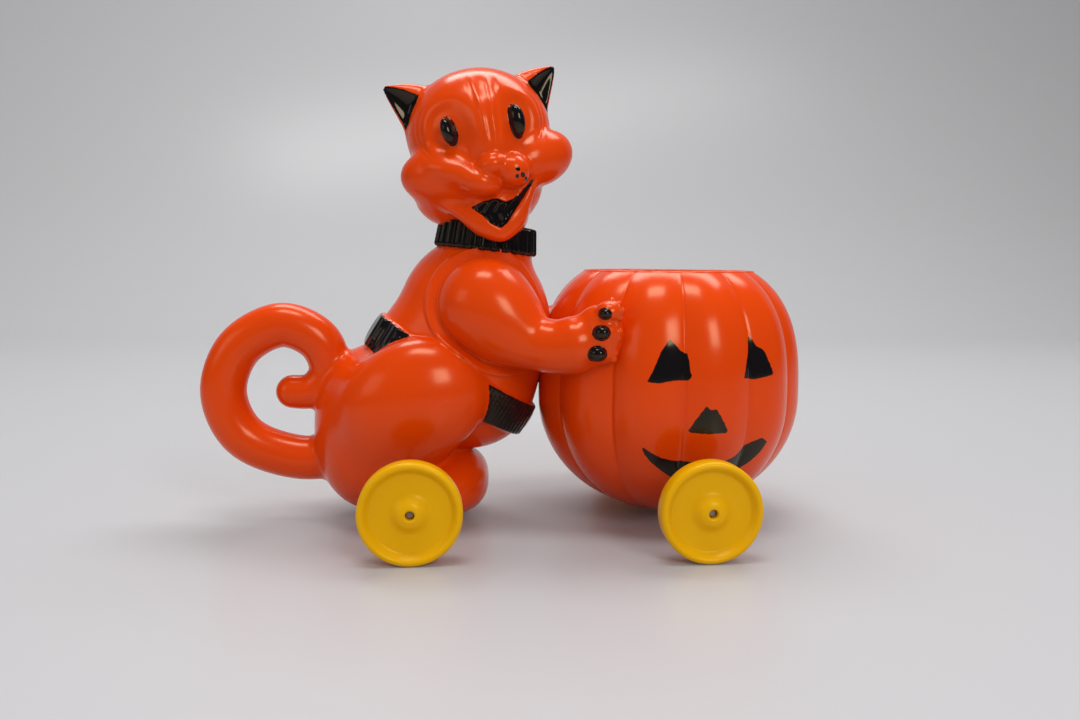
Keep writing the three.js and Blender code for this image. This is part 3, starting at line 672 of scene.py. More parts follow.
def field_grid(field, axes):
    """Values of a field on a grid, a few layers at a time."""
    layers = []
    for part in np.array_split(axes[0], max(1, len(axes[0]) // 12)):
        places = np.stack(np.meshgrid(part, axes[1], axes[2], indexing="ij"), -1).astype(np.float32)
        layers.append(field(places))
    return np.concatenate(layers)


def slope_of(field, p, step=0.05):
    """Slope of a field at places, by central differences."""
    out = np.empty_like(p)
    for i in range(3):
        shift = np.zeros(3, np.float32)
        shift[i] = step
        out[:, i] = (field(p + shift) - field(p - shift)) / (2 * step)
    return out


def level_surface(field, low, high, cell):
    """Quads on the zero level of a field. One vertex lies in each grid cell that the surface crosses, at
    the mean of the crossings on the cell's edges, and one quad goes round each crossed grid edge. Then
    the vertices are evened out and slid down the slope of the field until they lie on the surface."""
    axes = [np.arange(low[i], high[i] + cell, cell, dtype=np.float32) for i in range(3)]
    values = field_grid(field, axes)
    inside = values < 0
    shape = np.array(values.shape) - 1
    corners = [(i, j, k) for i in (0, 1) for j in (0, 1) for k in (0, 1)]

    def window(a, c):
        return a[c[0]:c[0] + shape[0], c[1]:c[1] + shape[1], c[2]:c[2] + shape[2]]

    count = sum(window(inside, c).astype(np.int8) for c in corners)
    crossed = (count > 0) & (count < 8)
    ids = np.full(crossed.shape, -1, np.int64)
    ids[crossed] = np.arange(crossed.sum())
    at = {c: window(values, c)[crossed] for c in corners}
    total = np.zeros((int(crossed.sum()), 3))
    hits = np.zeros(len(total))
    for a in corners:
        for axis in range(3):
            if a[axis]:
                continue
            b = tuple(1 if i == axis else a[i] for i in range(3))
            cut = (at[a] < 0) != (at[b] < 0)
            share = at[a][cut] / (at[a][cut] - at[b][cut])
            place = np.tile(np.array(a, float), (len(share), 1))
            place[:, axis] = share
            total[cut] += place
            hits[cut] += 1
    points = (np.argwhere(crossed) + total / hits[:, None]) * cell + np.array([a[0] for a in axes])
    quads = []
    for axis in range(3):
        u, v = (axis + 1) % 3, (axis + 2) % 3
        span = [slice(0, n) for n in values.shape]
        span[axis] = slice(0, shape[axis])
        span[u] = slice(1, shape[u])
        span[v] = slice(1, shape[v])
        ahead = list(span)
        ahead[axis] = slice(1, shape[axis] + 1)
        start, end = inside[tuple(span)], inside[tuple(ahead)]
        where = np.argwhere(start != end)
        outward = start[start != end]
        where[:, u] += 1
        where[:, v] += 1
        ring = []
        for du, dv in ((1, 1), (0, 1), (0, 0), (1, 0)):
            beside = where.copy()
            beside[:, u] -= du
            beside[:, v] -= dv
            ring.append(ids[tuple(beside.T)])
        ring = np.column_stack(ring)
        quads.append(np.where(outward[:, None], ring, ring[:, ::-1]))
    quads = np.vstack(quads)
    points = points.astype(np.float32)
    a, b = quads.ravel(), np.roll(quads, -1, axis=1).ravel()
    degree = np.bincount(a, minlength=len(points)) + np.bincount(b, minlength=len(points))
    for _ in range(SMOOTHING_ROUNDS):
        mean = np.column_stack(
            [
                np.bincount(a, points[b, i], len(points)) + np.bincount(b, points[a, i], len(points))
                for i in range(3)
            ]
        )
        points = (0.5 * points + 0.5 * mean / degree[:, None]).astype(np.float32)
        for _ in range(2):
            slope = slope_of(field, points)
            size = np.maximum((slope**2).sum(1), 0.05)
            step = np.clip(field(points) / size, -cell, cell)
            points = points - step[:, None] * slope
    return points.astype(float), quads


def grid_quads(rows, columns, closed=False):
    """Quads of a grid of vertices that are numbered row by row. A closed grid joins up both ways."""
    r = np.arange(rows if closed else rows - 1)
    c = np.arange(columns if closed else columns - 1)
    r, c = (a.ravel() for a in np.meshgrid(r, c, indexing="ij"))
    up, right = (r + 1) % rows, (c + 1) % columns
    return np.column_stack([r * columns + c, r * columns + right, up * columns + right, up * columns + c])


def mesh_of(name, points, quads):
    """A Blender mesh, in metres in the toy's frame, from points in millimetres and rows of quads."""
    mesh = bpy.data.meshes.new(name)
    place = (np.asarray(points, float) + REAR_AXLE) / 1000
    mesh.vertices.add(len(place))
    mesh.vertices.foreach_set("co", place.ravel())
    mesh.loops.add(quads.size)
    mesh.loops.foreach_set("vertex_index", quads.ravel().astype(np.int32))
    mesh.polygons.add(len(quads))
    mesh.polygons.foreach_set("loop_start", np.arange(0, quads.size, 4, dtype=np.int32))
    mesh.update(calc_edges=True)
    mesh.validate()
    return mesh


def points_of(mesh):
    """A mesh's vertices in millimetres from the rear axle."""
    co = np.empty(len(mesh.vertices) * 3, np.float32)
    mesh.vertices.foreach_get("co", co)
    return co.reshape(-1, 3) * 1000 - REAR_AXLE.astype(np.float32)


def tidy_mesh(mesh):
    """Merges doubled vertices, such as a pole's, turns the faces outwards and shades them smooth."""
    bm = bmesh.new()
    bm.from_mesh(mesh)
    bmesh.ops.remove_doubles(bm, verts=bm.verts, dist=1e-6)
    bmesh.ops.recalc_face_normals(bm, faces=bm.faces)
    bm.to_mesh(mesh)
    bm.free()
    mesh.polygons.foreach_set("use_smooth", np.ones(len(mesh.polygons), bool))


def finish_piece(mesh, material, body_name, replaces, paint=None):
    """Makes a mesh a piece of the toy, with its finish and its paint distances, riding on its body."""
    mesh.materials.append(bpy.data.materials[material])
    if paint is not None:
        layer = mesh.attributes.new("paint", "FLOAT", "POINT")
        layer.data.foreach_set("value", paint(points_of(mesh)).astype(np.float32))
    piece = bpy.data.objects.new(mesh.name, mesh)
    bpy.context.scene.collection.objects.link(piece)
    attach(piece, body_name)
    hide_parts(*replaces)


def finish_half(mesh, half, paint):
    """Makes a mesh a piece of one half of the moulding."""
    finish_piece(mesh, "painted_orange", "shell", [f"{half}_half_shell"], paint)


def cut_across(bm, level, way, **rest):
    """Cuts a mesh with a plane of constant Y, in metres, that faces along Y or against it."""
    everything = bm.verts[:] + bm.edges[:] + bm.faces[:]
    return bmesh.ops.bisect_plane(
        bm, geom=everything, plane_co=(0, level, 0), plane_no=(0, way, 0), dist=1e-7, **rest
    )


def moulded_halves(name, points, quads, groove, paint):
    """Makes the two closed halves of a moulded solid pieces of the shell, with a fine V groove along the
    seam in the plane Y = 0."""
    whole = bmesh.new()
    source = mesh_of(name, points, quads)
    whole.from_mesh(source)
    bpy.data.meshes.remove(source)
    for level in (-SEAM_HALF_WIDTH, SEAM_HALF_WIDTH):
        cut_across(whole, level / 1000, 1)
    halves = {}
    for half, side in SIDES:
        bm = whole.copy()
        cut = cut_across(bm, 0, -side, clear_outer=True)
        bm.normal_update()
        rim = [v for v in cut["geom_cut"] if isinstance(v, bmesh.types.BMVert)]
        for v in rim:
            inward = Vector((v.normal.x, 0, v.normal.z)).normalized()
            v.co -= inward * groove / 1000
        for face in bm.faces:
            face.smooth = True
        edges = [e for e in bm.edges if e.is_boundary]
        filled = bmesh.ops.triangle_fill(bm, edges=edges, use_beauty=True, normal=(0, -side, 0))
        for face in filled["geom"]:
            if isinstance(face, bmesh.types.BMFace):
                face.smooth = False
        mesh = bpy.data.meshes.new(f"{name}_{half}")
        bm.to_mesh(mesh)
        bm.free()
        halves[half] = mesh
    whole.free()
    for half, mesh in halves.items():
        finish_half(mesh, half, paint)


def socket(tree, kind, name, in_out, default=None):
    """A named input or output of a node group."""
    made = tree.interface.new_socket(name=name, in_out=in_out, socket_type=kind)
    if default is not None:
        made.default_value = default
    return made


def link(tree, source, target):
    """Joins two sockets of a node tree."""
    tree.links.new(source, target)


def math_node(tree, operation, *values, clamp=False):
    """A Math node on sockets or numbers, as its output."""
    node = tree.nodes.new("ShaderNodeMath")
    node.operation = operation
    node.use_clamp = clamp
    for i, value in enumerate(values):
        if isinstance(value, (int, float)):
            node.inputs[i].default_value = value
        else:
            link(tree, value, node.inputs[i])
    return node.outputs[0]


def noise(tree, vector, scale, detail, roughness):
    """A Noise Texture's value on a vector socket."""
    node = tree.nodes.new("ShaderNodeTexNoise")
    node.inputs["Scale"].default_value = scale
    node.inputs["Detail"].default_value = detail
    node.inputs["Roughness"].default_value = roughness
    link(tree, vector, node.inputs["Vector"])
    return node.outputs["Fac"]


def mix_colour(tree, factor, a, b):
    """A Mix node on two colours, each a socket or a value, as its output."""
    node = tree.nodes.new("ShaderNodeMix")
    node.data_type = "RGBA"
    for name, value in (("Factor", factor), ("A", a), ("B", b)):
        target = [s for s in node.inputs if s.name == name and s.enabled][0]
        if isinstance(value, (int, float, tuple)):
            target.default_value = value
        else:
            link(tree, value, target)
    return [s for s in node.outputs if s.enabled][0]


def moulded_plastic_group():
    """Hard plastic as it comes from the mould: slow streaks of colour, and a surface that waves a little
    and carries fine handling marks."""
    tree = bpy.data.node_groups.new("moulded_plastic", "ShaderNodeTree")
    socket(tree, "NodeSocketVector", "Place", "INPUT")
    socket(tree, "NodeSocketColor", "Colour", "INPUT", (0.8, 0.2, 0.02, 1))
    socket(tree, "NodeSocketColor", "Streak Colour", "INPUT", (0.7, 0.12, 0.01, 1))
    socket(tree, "NodeSocketFloat", "Gloss Roughness", "INPUT", 0.15)
    socket(tree, "NodeSocketFloat", "Waviness", "INPUT", 0.1)
    for kind, name in (("Color", "Colour"), ("Float", "Roughness"), ("Vector", "Normal")):
        socket(tree, "NodeSocket" + kind, name, "OUTPUT")
    inputs = tree.nodes.new("NodeGroupInput").outputs
    outputs = tree.nodes.new("NodeGroupOutput").inputs
    streaks = noise(tree, inputs["Place"], *STREAKS)
    soft = math_node(tree, "MULTIPLY_ADD", streaks, *STREAK_CONTRAST, clamp=True)
    link(tree, mix_colour(tree, soft, inputs["Colour"], inputs["Streak Colour"]), outputs["Colour"])
    marks = noise(tree, inputs["Place"], *MARKS)
    worn = math_node(tree, "MULTIPLY", math_node(tree, "SUBTRACT", marks, 0.5), MARKS_ROUGHEN)
    link(tree, math_node(tree, "ADD", inputs["Gloss Roughness"], worn), outputs["Roughness"])
    bump = tree.nodes.new("ShaderNodeBump")
    bump.inputs["Distance"].default_value = WAVE_HEIGHT
    link(tree, inputs["Waviness"], bump.inputs["Strength"])
    link(tree, noise(tree, inputs["Place"], *WAVES), bump.inputs["Height"])
    link(tree, bump.outputs["Normal"], outputs["Normal"])
    return tree


def brushed_paint_group():
    """A coat of paint put on by hand: where it lies, from the distance to its edge, with an uneven edge
    and small bare chips."""
    tree = bpy.data.node_groups.new("brushed_paint", "ShaderNodeTree")
    socket(tree, "NodeSocketVector", "Place", "INPUT")
    socket(tree, "NodeSocketFloat", "Distance", "INPUT", 1.0)
    socket(tree, "NodeSocketFloat", "Edge Wobble", "INPUT", PAINT_WOBBLE)
    socket(tree, "NodeSocketFloat", "Chips", "INPUT", PAINT_CHIPS)
    socket(tree, "NodeSocketFloat", "Mask", "OUTPUT")
    inputs = tree.nodes.new("NodeGroupInput").outputs
    outputs = tree.nodes.new("NodeGroupOutput").inputs
    wobble = math_node(tree, "SUBTRACT", noise(tree, inputs["Place"], *WOBBLE), 0.5)
    edge = math_node(tree, "MULTIPLY_ADD", wobble, inputs["Edge Wobble"], inputs["Distance"])
    inside = math_node(tree, "MULTIPLY_ADD", edge, -PAINT_SHARPNESS, 0.5, clamp=True)
    chips = math_node(tree, "GREATER_THAN", noise(tree, inputs["Place"], *CHIPS), CHIPS_FROM)
    bare = math_node(tree, "MULTIPLY", chips, inputs["Chips"])
    link(tree, math_node(tree, "SUBTRACT", inside, bare, clamp=True), outputs["Mask"])
    return tree


def new_material(name):
    """A material with an empty Principled shader, and its object coordinates."""
    material = bpy.data.materials.new(name)
    material.use_nodes = True
    tree = material.node_tree
    shader = tree.nodes["Principled BSDF"]
    place = tree.nodes.new("ShaderNodeTexCoord").outputs["Object"]
    return material, tree, shader, place


def group_node(tree, group):
    """A node group placed in a material."""
    node = tree.nodes.new("ShaderNodeGroup")
    node.node_tree = group
    return node


def plastic_material(name, colour, streak, roughness, tint, paint_colour=None):
    """Moulded plastic, with glossy paint over it where the piece's paint attribute is below zero."""
    material, tree, shader, place = new_material(name)
    plastic = group_node(tree, bpy.data.node_groups["moulded_plastic"])
    link(tree, place, plastic.inputs["Place"])
    plastic.inputs["Colour"].default_value = (*colour, 1)
    plastic.inputs["Streak Colour"].default_value = (*streak, 1)
    plastic.inputs["Gloss Roughness"].default_value = roughness
    plastic.inputs["Waviness"].default_value = WAVINESS
    base, rough = plastic.outputs["Colour"], plastic.outputs["Roughness"]
    if paint_colour is not None:
        coat = group_node(tree, bpy.data.node_groups["brushed_paint"])
        distance = tree.nodes.new("ShaderNodeAttribute")
        distance.attribute_name = "paint"
        link(tree, place, coat.inputs["Place"])
        link(tree, distance.outputs["Fac"], coat.inputs["Distance"])
        base = mix_colour(tree, coat.outputs["Mask"], base, (*paint_colour, 1))
        gloss = math_node(tree, "MULTIPLY_ADD", coat.outputs["Mask"], PAINT_ROUGHNESS - 1, 1)
        rough = math_node(tree, "MULTIPLY", rough, gloss)
    link(tree, base, shader.inputs["Base Color"])
    link(tree, rough, shader.inputs["Roughness"])
    link(tree, plastic.outputs["Normal"], shader.inputs["Normal"])
    shader.inputs["IOR"].default_value = PLASTIC_IOR
    shader.inputs["Specular Tint"].default_value = (*tint, 1)
    return material


def steel_material(name, colour):
    """Dull drawn wire, with brown tarnish in patches."""
    material, tree, shader, place = new_material(name)
    tarnish = noise(tree, place, *TARNISH_PATCHES)
    link(tree, mix_colour(tree, tarnish, (*colour, 1), TARNISH), shader.inputs["Base Color"])
    rough = math_node(tree, "MULTIPLY_ADD", tarnish, TARNISH_ROUGHENS, STEEL_ROUGHNESS)
    link(tree, rough, shader.inputs["Roughness"])
    shader.inputs["Metallic"].default_value = 1
    return material


def pumpkin_face(p):
    """Distance to the pumpkin's painted face, on the wall as it unrolls: two eyes, a nose and a mouth, each
    a closed outline in degrees round the wall and height."""
    turn = np.degrees(np.arctan2(p[:, 0] - WHEELBASE, -p[:, 1]))
    black = np.full(len(p), 5.0)
    for corners in PUMPKIN_PATCHES:
        unrolled = [(x * MM_PER_DEGREE, z) for x, z in corners]
        black = np.minimum(black, outline(turn * MM_PER_DEGREE, p[:, 2], unrolled))
    return np.where(p[:, 1] < 0, black, 5.0)


def pumpkin_half(side, rib_count, rib_depth, rib_turn):
    """One half of the bowl as a closed grid: down the outside profile, over the rim and down the inside,
    for each turn round the axis. Ribs swell as |sin| between their grooves."""
    quarter = np.linspace(0, np.pi / 2, PUMPKIN_ROWS)
    heights = [
        np.r_[
            PUMPKIN_BELLY_HEIGHT - (PUMPKIN_LOWER - inset) * np.cos(quarter),
            PUMPKIN_BELLY_HEIGHT + (RIM_HEIGHT - RIM_ROUND - PUMPKIN_BELLY_HEIGHT) * np.sin(quarter[1:]),
        ]
        for inset in (0, WALL)
    ]
    outer = np.column_stack([pumpkin_radius(heights[0]), heights[0]])
    inner = np.column_stack([pumpkin_radius(heights[1], WALL), heights[1]])[::-1]
    bend = np.linspace(0.15, 0.85, 7)[:, None] * np.pi
    edge = float(outer[-1, 0] + inner[0, 0]) / 2
    half_wall = float(outer[-1, 0] - inner[0, 0]) / 2
    rise = RIM_HEIGHT - RIM_ROUND + RIM_ROUND * np.sin(bend)
    rim = np.column_stack([edge + half_wall * np.cos(bend), rise])
    profile = np.vstack([outer, rim, inner])
    profile[[0, -1], 0] = 0
    near, start = np.array(SEAM_COLUMNS) / PUMPKIN_RADIUS, SEAM_REACH / PUMPKIN_RADIUS
    turns = np.r_[near, np.linspace(start, np.pi - start, PUMPKIN_COLUMNS), np.pi - near[::-1]]
    turn = turns + side * np.pi / 2
    wave = np.abs(np.sin((turn - rib_turn) * rib_count / 2))
    groove = 1 - np.sqrt(wave**2 + GROOVE_SOFTNESS)
    groove = groove + GROOVE_LINE / rib_depth * np.exp(-((wave / GROOVE_LINE_WIDTH) ** 2))
    radius = profile[:, :1] * (1 - rib_depth / PUMPKIN_RADIUS * groove)
    away = np.abs(radius * np.cos(turn))
    seam_depth = np.where(radius > SEAM_FROM_RADIUS, PUMPKIN_SEAM[0], 0)
    radius = radius - seam_depth * np.exp(-((away / PUMPKIN_SEAM[1]) ** 2))
    height = np.broadcast_to(profile[:, 1:], radius.shape)
    points = np.stack([WHEELBASE + radius * np.sin(turn), -radius * np.cos(turn), height], -1)
    rows_all, columns = radius.shape
    quads = [grid_quads(rows_all, columns)]
    outside = np.arange(len(outer) + 3)
    inside = rows_all - 1 - outside
    for column in (0, columns - 1):
        strip = np.column_stack([outside[:-1], outside[1:], inside[1:], inside[:-1]]) * columns + column
        quads.append(strip)
    return points.reshape(-1, 3), np.vstack(quads)


def all_painted(p):
    """Distance that lies inside the paint everywhere."""
    return np.full(len(p), -1.0)


def collar_ring(ribs, rib_depth):
    """The collar: a low ring with rounded edges whose ribs swell as a cosine round the neck, and whose
    finer wrinkles shift to and fro."""
    half, top = COLLAR_HEIGHT / 2, COLLAR_RADIUS - COLLAR_TAPER
    bevel = COLLAR_BEVEL
    corner = np.linspace(0, np.pi / 2, 6)
    bottom_edge = np.column_stack([COLLAR_RADIUS - bevel + np.sin(corner), -half + bevel - np.cos(corner)])
    top_edge = np.column_stack([top - bevel + np.cos(corner), half - bevel + np.sin(corner)])
    rise = np.linspace(-half + bevel, half - bevel, 8)
    side = np.column_stack([np.linspace(COLLAR_RADIUS, top, 8), rise])[1:-1]
    core = COLLAR_RADIUS - COLLAR_THICKNESS
    profile = np.vstack([[core, -half], bottom_edge, side, top_edge, [core, half]])
    turn = np.linspace(0, 2 * np.pi, COLLAR_STEPS, endpoint=False)
    share = np.clip((profile[:, :1] - core) / (COLLAR_RADIUS - core), 0, 1)
    shift, times = COLLAR_UNEVEN
    wrinkles = COLLAR_WRINKLE * np.cos(turn * COLLAR_WRINKLES + shift * np.sin(turn * times))
    ribbed = rib_depth * (0.5 - 0.5 * np.cos(turn * ribs))
    radius = profile[:, :1] - share * (ribbed + COLLAR_WRINKLE - wrinkles)
    height = np.broadcast_to(profile[:, 1:], radius.shape)
    flat = np.stack([radius * np.cos(turn), radius * np.sin(turn), height], -1)
    points = turned(flat.reshape(-1, 3), COLLAR_LEAN, 2, 0) + np.array(COLLAR_MIDDLE)
    return points, grid_quads(len(profile), len(turn), closed=True)


def revolved(profile, steps):
    """A closed profile of radii and places along Y, carried round the Y axis."""
    turn = np.linspace(0, 2 * np.pi, steps, endpoint=False)
    radius = profile[:, :1]
    along = np.broadcast_to(profile[:, 1:], (len(profile), steps))
    points = np.stack([radius * np.cos(turn), along, radius * np.sin(turn)], -1)
    return points.reshape(-1, 3), grid_quads(len(profile), steps, closed=True)


def wheel_profile(w):
    """Outline of a wheel from its rim to its bore: a round lip, a recessed web and a coned hub."""
    face, web, half_lip = WHEEL_WIDTH / 2, w.web / 2, w.lip / 2
    ring, bore, hub = WHEEL_RADIUS - half_lip, w.axle_radius + BORE_GAP, face + HUB_PROUD
    foot = w.hub_radius + HUB_FOOT
    turn = np.linspace(-np.pi / 2, np.pi / 2, 15)
    across = np.sign(turn) * (face - half_lip) + half_lip * np.sin(turn)
    outer = np.column_stack([ring + half_lip * np.cos(turn), across])
    slope = np.linspace(0, 1, 8)[:, None]
    drop = 0.5 - 0.5 * np.cos(np.pi * slope)
    into_web = np.column_stack([ring - slope * (half_lip + LIP_SLOPE), face + (web - face) * drop])
    cone = np.column_stack([foot - slope * (foot - w.hub_top), web + (hub - web) * drop])
    crown = hub + HUB_CROWN[1]
    top = [[w.hub_top - HUB_CROWN[0], crown], [bore + BORE_BEVEL[0], crown], [bore, hub - BORE_BEVEL[1]]]
    back = np.vstack([into_web, cone, top]) * [1, -1]
    inside = back[len(into_web):]
    inside[:, 1] = np.interp(-inside[:, 1], [web, hub], [-web, -face - w.hub_inner])
    return np.vstack([outer, into_web[1:], cone, top, back[::-1]])


def box_reach(node):
    """How far a node of the CAD reaches from the middle plane, in millimetres."""
    return max(abs(float(corner[1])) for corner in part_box(node)) * 1000


def wheelset(end, w):
    """Makes an axle and its two wheels pieces of their body."""
    body_name = f"{end}_wheelset"
    axle = AXLES[body_name] - REAR_AXLE
    reach, edge = box_reach(f"{end}_axle"), AXLE_EDGE
    turn = np.linspace(0, np.pi / 2, 5)
    cap = np.column_stack([w.axle_radius - edge + edge * np.sin(turn), reach - edge + edge * np.cos(turn)])
    wire = np.vstack([[[0, reach]], cap, cap[::-1] * [1, -1], [[0, -reach]]])
    points, quads = revolved(wire, AXLE_STEPS)
    mesh = mesh_of(f"{end}_axle_wire", points + axle, quads)
    tidy_mesh(mesh)
    finish_piece(mesh, "axle_wire", body_name, [f"{end}_axle"])
    for half, side in SIDES:
        node = f"{end}_{half}_wheel"
        points, quads = revolved(wheel_profile(w), WHEEL_STEPS)
        middle = box_reach(node) - WHEEL_BACK - WHEEL_WIDTH / 2
        points = points * [1, side, 1] + axle + [0, side * middle, 0]
        mesh = mesh_of(f"{node}_shell", points, quads)
        tidy_mesh(mesh)
        finish_piece(mesh, "wheel_yellow", body_name, [node])


def backdrop_sheet(tone):
    """The floor and the backdrop as one sheet with a round bend, and its plain finish."""
    sweep = np.linspace(0, np.pi / 2, 16)
    away = BACKDROP_AWAY - BACKDROP_BEND + BACKDROP_BEND * np.sin(sweep)
    rise = BACKDROP_BEND - BACKDROP_BEND * np.cos(sweep)
    bend = np.column_stack([away, rise])
    profile = np.vstack([[[FLOOR_FRONT, 0]], bend, [[BACKDROP_AWAY, BACKDROP_HEIGHT]]])
    across = np.broadcast_to([-BACKDROP_HALF, BACKDROP_HALF], (len(profile), 2))
    along, up = (np.broadcast_to(profile[:, i:i + 1], across.shape) for i in (0, 1))
    points = np.stack([across, along, up], -1).reshape(-1, 3)
    mesh = mesh_of("backdrop", points * 1000 - REAR_AXLE, grid_quads(len(profile), 2))
    mesh.polygons.foreach_set("use_smooth", np.ones(len(mesh.polygons), bool))
    material, _, shader, _ = new_material("pale_paper")
    shader.inputs["Base Color"].default_value = (*tone, 1)
    shader.inputs["Roughness"].default_value = FLOOR_ROUGHNESS
    mesh.materials.append(material)
    backdrop = bpy.data.objects.new("backdrop", mesh)
    bpy.context.scene.collection.objects.link(backdrop)
    return backdrop


def light_up(scene, key_power, fill):
    """An even white surrounding, which shines on the toy and isn't mirrored in it, and the lamps."""
    world = bpy.data.worlds.new("studio")
    world.use_nodes = True
    background = world.node_tree.nodes["Background"]
    background.inputs["Color"].default_value = (1, 1, 1, 1)
    background.inputs["Strength"].default_value = fill
    scene.world = world
    world.cycles_visibility.glossy = False
    for name, place, extent, share in LAMPS:
        lamp = bpy.data.lights.new(name, "AREA")
        lamp.shape = "RECTANGLE"
        lamp.size, lamp.size_y = extent
        lamp.energy = key_power * share
        made = bpy.data.objects.new(name, lamp)
        made.location = place
        aim = Vector(LAMP_TARGET) - Vector(place)
        made.rotation_euler = aim.to_track_quat("-Z", "Y").to_euler()
        scene.collection.objects.link(made)


def place_camera(scene, s):
    """The camera at the photograph's viewing angle: turned, tilted down and rolled."""
    pitch, yaw, roll = s.camera_pitch, s.camera_yaw, s.camera_roll
    forward = Vector((math.sin(yaw) * math.cos(pitch), math.cos(yaw) * math.cos(pitch), -math.sin(pitch)))
    right = Vector((math.cos(yaw), -math.sin(yaw), 0))
    down = forward.cross(right)
    cosine, sine = math.cos(roll), math.sin(roll)
    right, down = cosine * right + sine * down, cosine * down - sine * right
    lens = bpy.data.cameras.new("camera")
    lens.lens = s.lens
    lens.sensor_width = 36
    lens.clip_start = 0.01
    camera = bpy.data.objects.new("camera", lens)
    turn = Matrix((right, -down, -forward)).transposed().to_4x4()
    camera.matrix_world = Matrix.Translation(s.camera_place) @ turn
    scene.collection.objects.link(camera)
    scene.camera = camera


def size(label, description, default, low, high):
    """A size in millimetres that a user can change."""
    return bpy.props.FloatProperty(
        name=label, description=f"{description}, in millimetres", default=default, min=low, max=high
    )


def colour(label, description, default):
    """A colour that a user can change."""
    return bpy.props.FloatVectorProperty(
        name=label, description=description, subtype="COLOR", default=default, min=0, max=1
    )


def angle(label, description, degrees):
    """An angle that a user can change."""
    return bpy.props.FloatProperty(
        name=label, description=description, default=math.radians(degrees), unit="ROTATION"
    )


def count(label, description, default, low, high):
    """A number of copies that a user can change."""
    return bpy.props.IntProperty(name=label, description=description, default=default, min=low, max=high)


class DISH_PG_shape(bpy.types.PropertyGroup):
    """Sizes of the moulding that can be changed without refitting it."""

    rib_count: count("Ribs", "Ribs round the pumpkin", 12, 6, 24)
    rib_depth: size("Rib depth", "Depth of a groove between two ribs", 2, 0, 4)
    rib_turn: angle("Rib turn", "Turn of a groove from the middle of the face", -6.4)
    collar_ribs: count("Collar ribs", "Ribs round the collar", 26, 8, 60)
    collar_rib_depth: size("Collar rib depth", "Depth of the collar's ribs", 0.9, 0, 2)
    seam_depth: size("Seam depth", "Depth of the groove where the halves meet", 0.14, 0, 1)
    head_cell: size("Head detail", "Size of a face on the head", 0.45, 0.2, 2)
    body_cell: size("Body detail", "Size of a face on the body", 0.62, 0.3, 2)


class DISH_PG_wheels(bpy.types.PropertyGroup):
    """Sizes of the wheels and axles."""

    lip: size("Lip", "Height of the rounded rim", 2.3, 1, 5)
    web: size("Web", "Thickness of the disc", 2, 0.5, 5)
    hub_radius: size("Hub radius", "Radius at the foot of the hub", 5.4, 2, 8)
    hub_top: size("Hub top", "Radius at the top of the hub", 2.2, 1.6, 6)
    hub_inner: size("Inner hub", "How far the hub stands out of the inner face", 2.6, 0, 5)
    axle_radius: size("Axle radius", "Radius of the wire", 1.15, 0.5, 1.35)


class DISH_PG_finish(bpy.types.PropertyGroup):
    """Colours and gloss of the plastics, the paint and the wire."""

    orange: colour("Orange", "Colour of the moulding", (0.78, 0.059, 0.001))
    orange_streak: colour("Orange streaks", "Colour of the moulding's streaks", (0.72, 0.05, 0.001))
    yellow: colour("Yellow", "Colour of the wheels", (0.82, 0.42, 0.0003))
    yellow_streak: colour("Yellow streaks", "Colour of the wheels' streaks", (0.77, 0.38, 0.0003))
    orange_tint: colour("Orange gloss", "Tint of the moulding's reflections", (1, 0.8, 0.5))
    yellow_tint: colour("Yellow gloss", "Tint of the wheels' reflections", (1, 0.85, 0.25))
    black: colour("Black", "Colour of the paint", (0.008, 0.007, 0.008))
    steel: colour("Steel", "Colour of the axles", (0.45, 0.42, 0.4))
    roughness: bpy.props.FloatProperty(
        name="Roughness", description="Roughness of the moulding", default=0.21, min=0, max=1
    )


class DISH_PG_stage(bpy.types.PropertyGroup):
    """Floor, backdrop, lights and camera."""

    floor: colour("Floor", "Colour of the floor and backdrop", (0.5, 0.495, 0.505))
    key_power: bpy.props.FloatProperty(
        name="Key light", description="Power of the window lamp, which the others follow", default=3.4, min=0,
        unit="POWER",
    )
    fill: bpy.props.FloatProperty(
        name="Fill", description="Strength of the surrounding light", default=0.55, min=0, max=4
    )
    camera_place: bpy.props.FloatVectorProperty(
        name="Camera", description="Place of the camera", subtype="TRANSLATION", unit="LENGTH",
        default=(-0.02095, -0.28175, 0.08105),
    )
    camera_pitch: angle("Pitch", "Downward tilt of the camera", 6.4)
    camera_yaw: angle("Yaw", "Turn of the camera towards the pumpkin", 6.5)
    camera_roll: angle("Roll", "Roll of the camera", -0.52)
    lens: bpy.props.FloatProperty(
        name="Lens", description="Focal length in millimetres, on a sensor 36 mm wide", default=30,
        min=10, max=200,
    )


class DISH_OT_finishes(bpy.types.Operator):
    """Make the materials of the plastics, the paint and the wire"""

    bl_idname = "dish.finishes"
    bl_label = "Make Finishes"

    def execute(self, context):
        f = context.scene.dish_finish
        moulded_plastic_group()
        brushed_paint_group()
        plastic_material("painted_orange", f.orange, f.orange_streak, f.roughness, f.orange_tint, f.black)
        plastic_material("wheel_yellow", f.yellow, f.yellow_streak, YELLOW_ROUGHNESS, f.yellow_tint)
        steel_material("axle_wire", f.steel)
        return {"FINISHED"}


class DISH_OT_body(bpy.types.Operator):
    """Make the two halves of the cat's body with its tail, legs and arms"""

    bl_idname = "dish.body"
    bl_label = "Make Body"

    def execute(self, context):
        s = context.scene.dish_shape
        cell = s.body_cell * 1
        points, quads = level_surface(body, *BODY_BOX, cell)
        moulded_halves("cat_body", points, quads, s.seam_depth, body_paint)
        return {"FINISHED"}


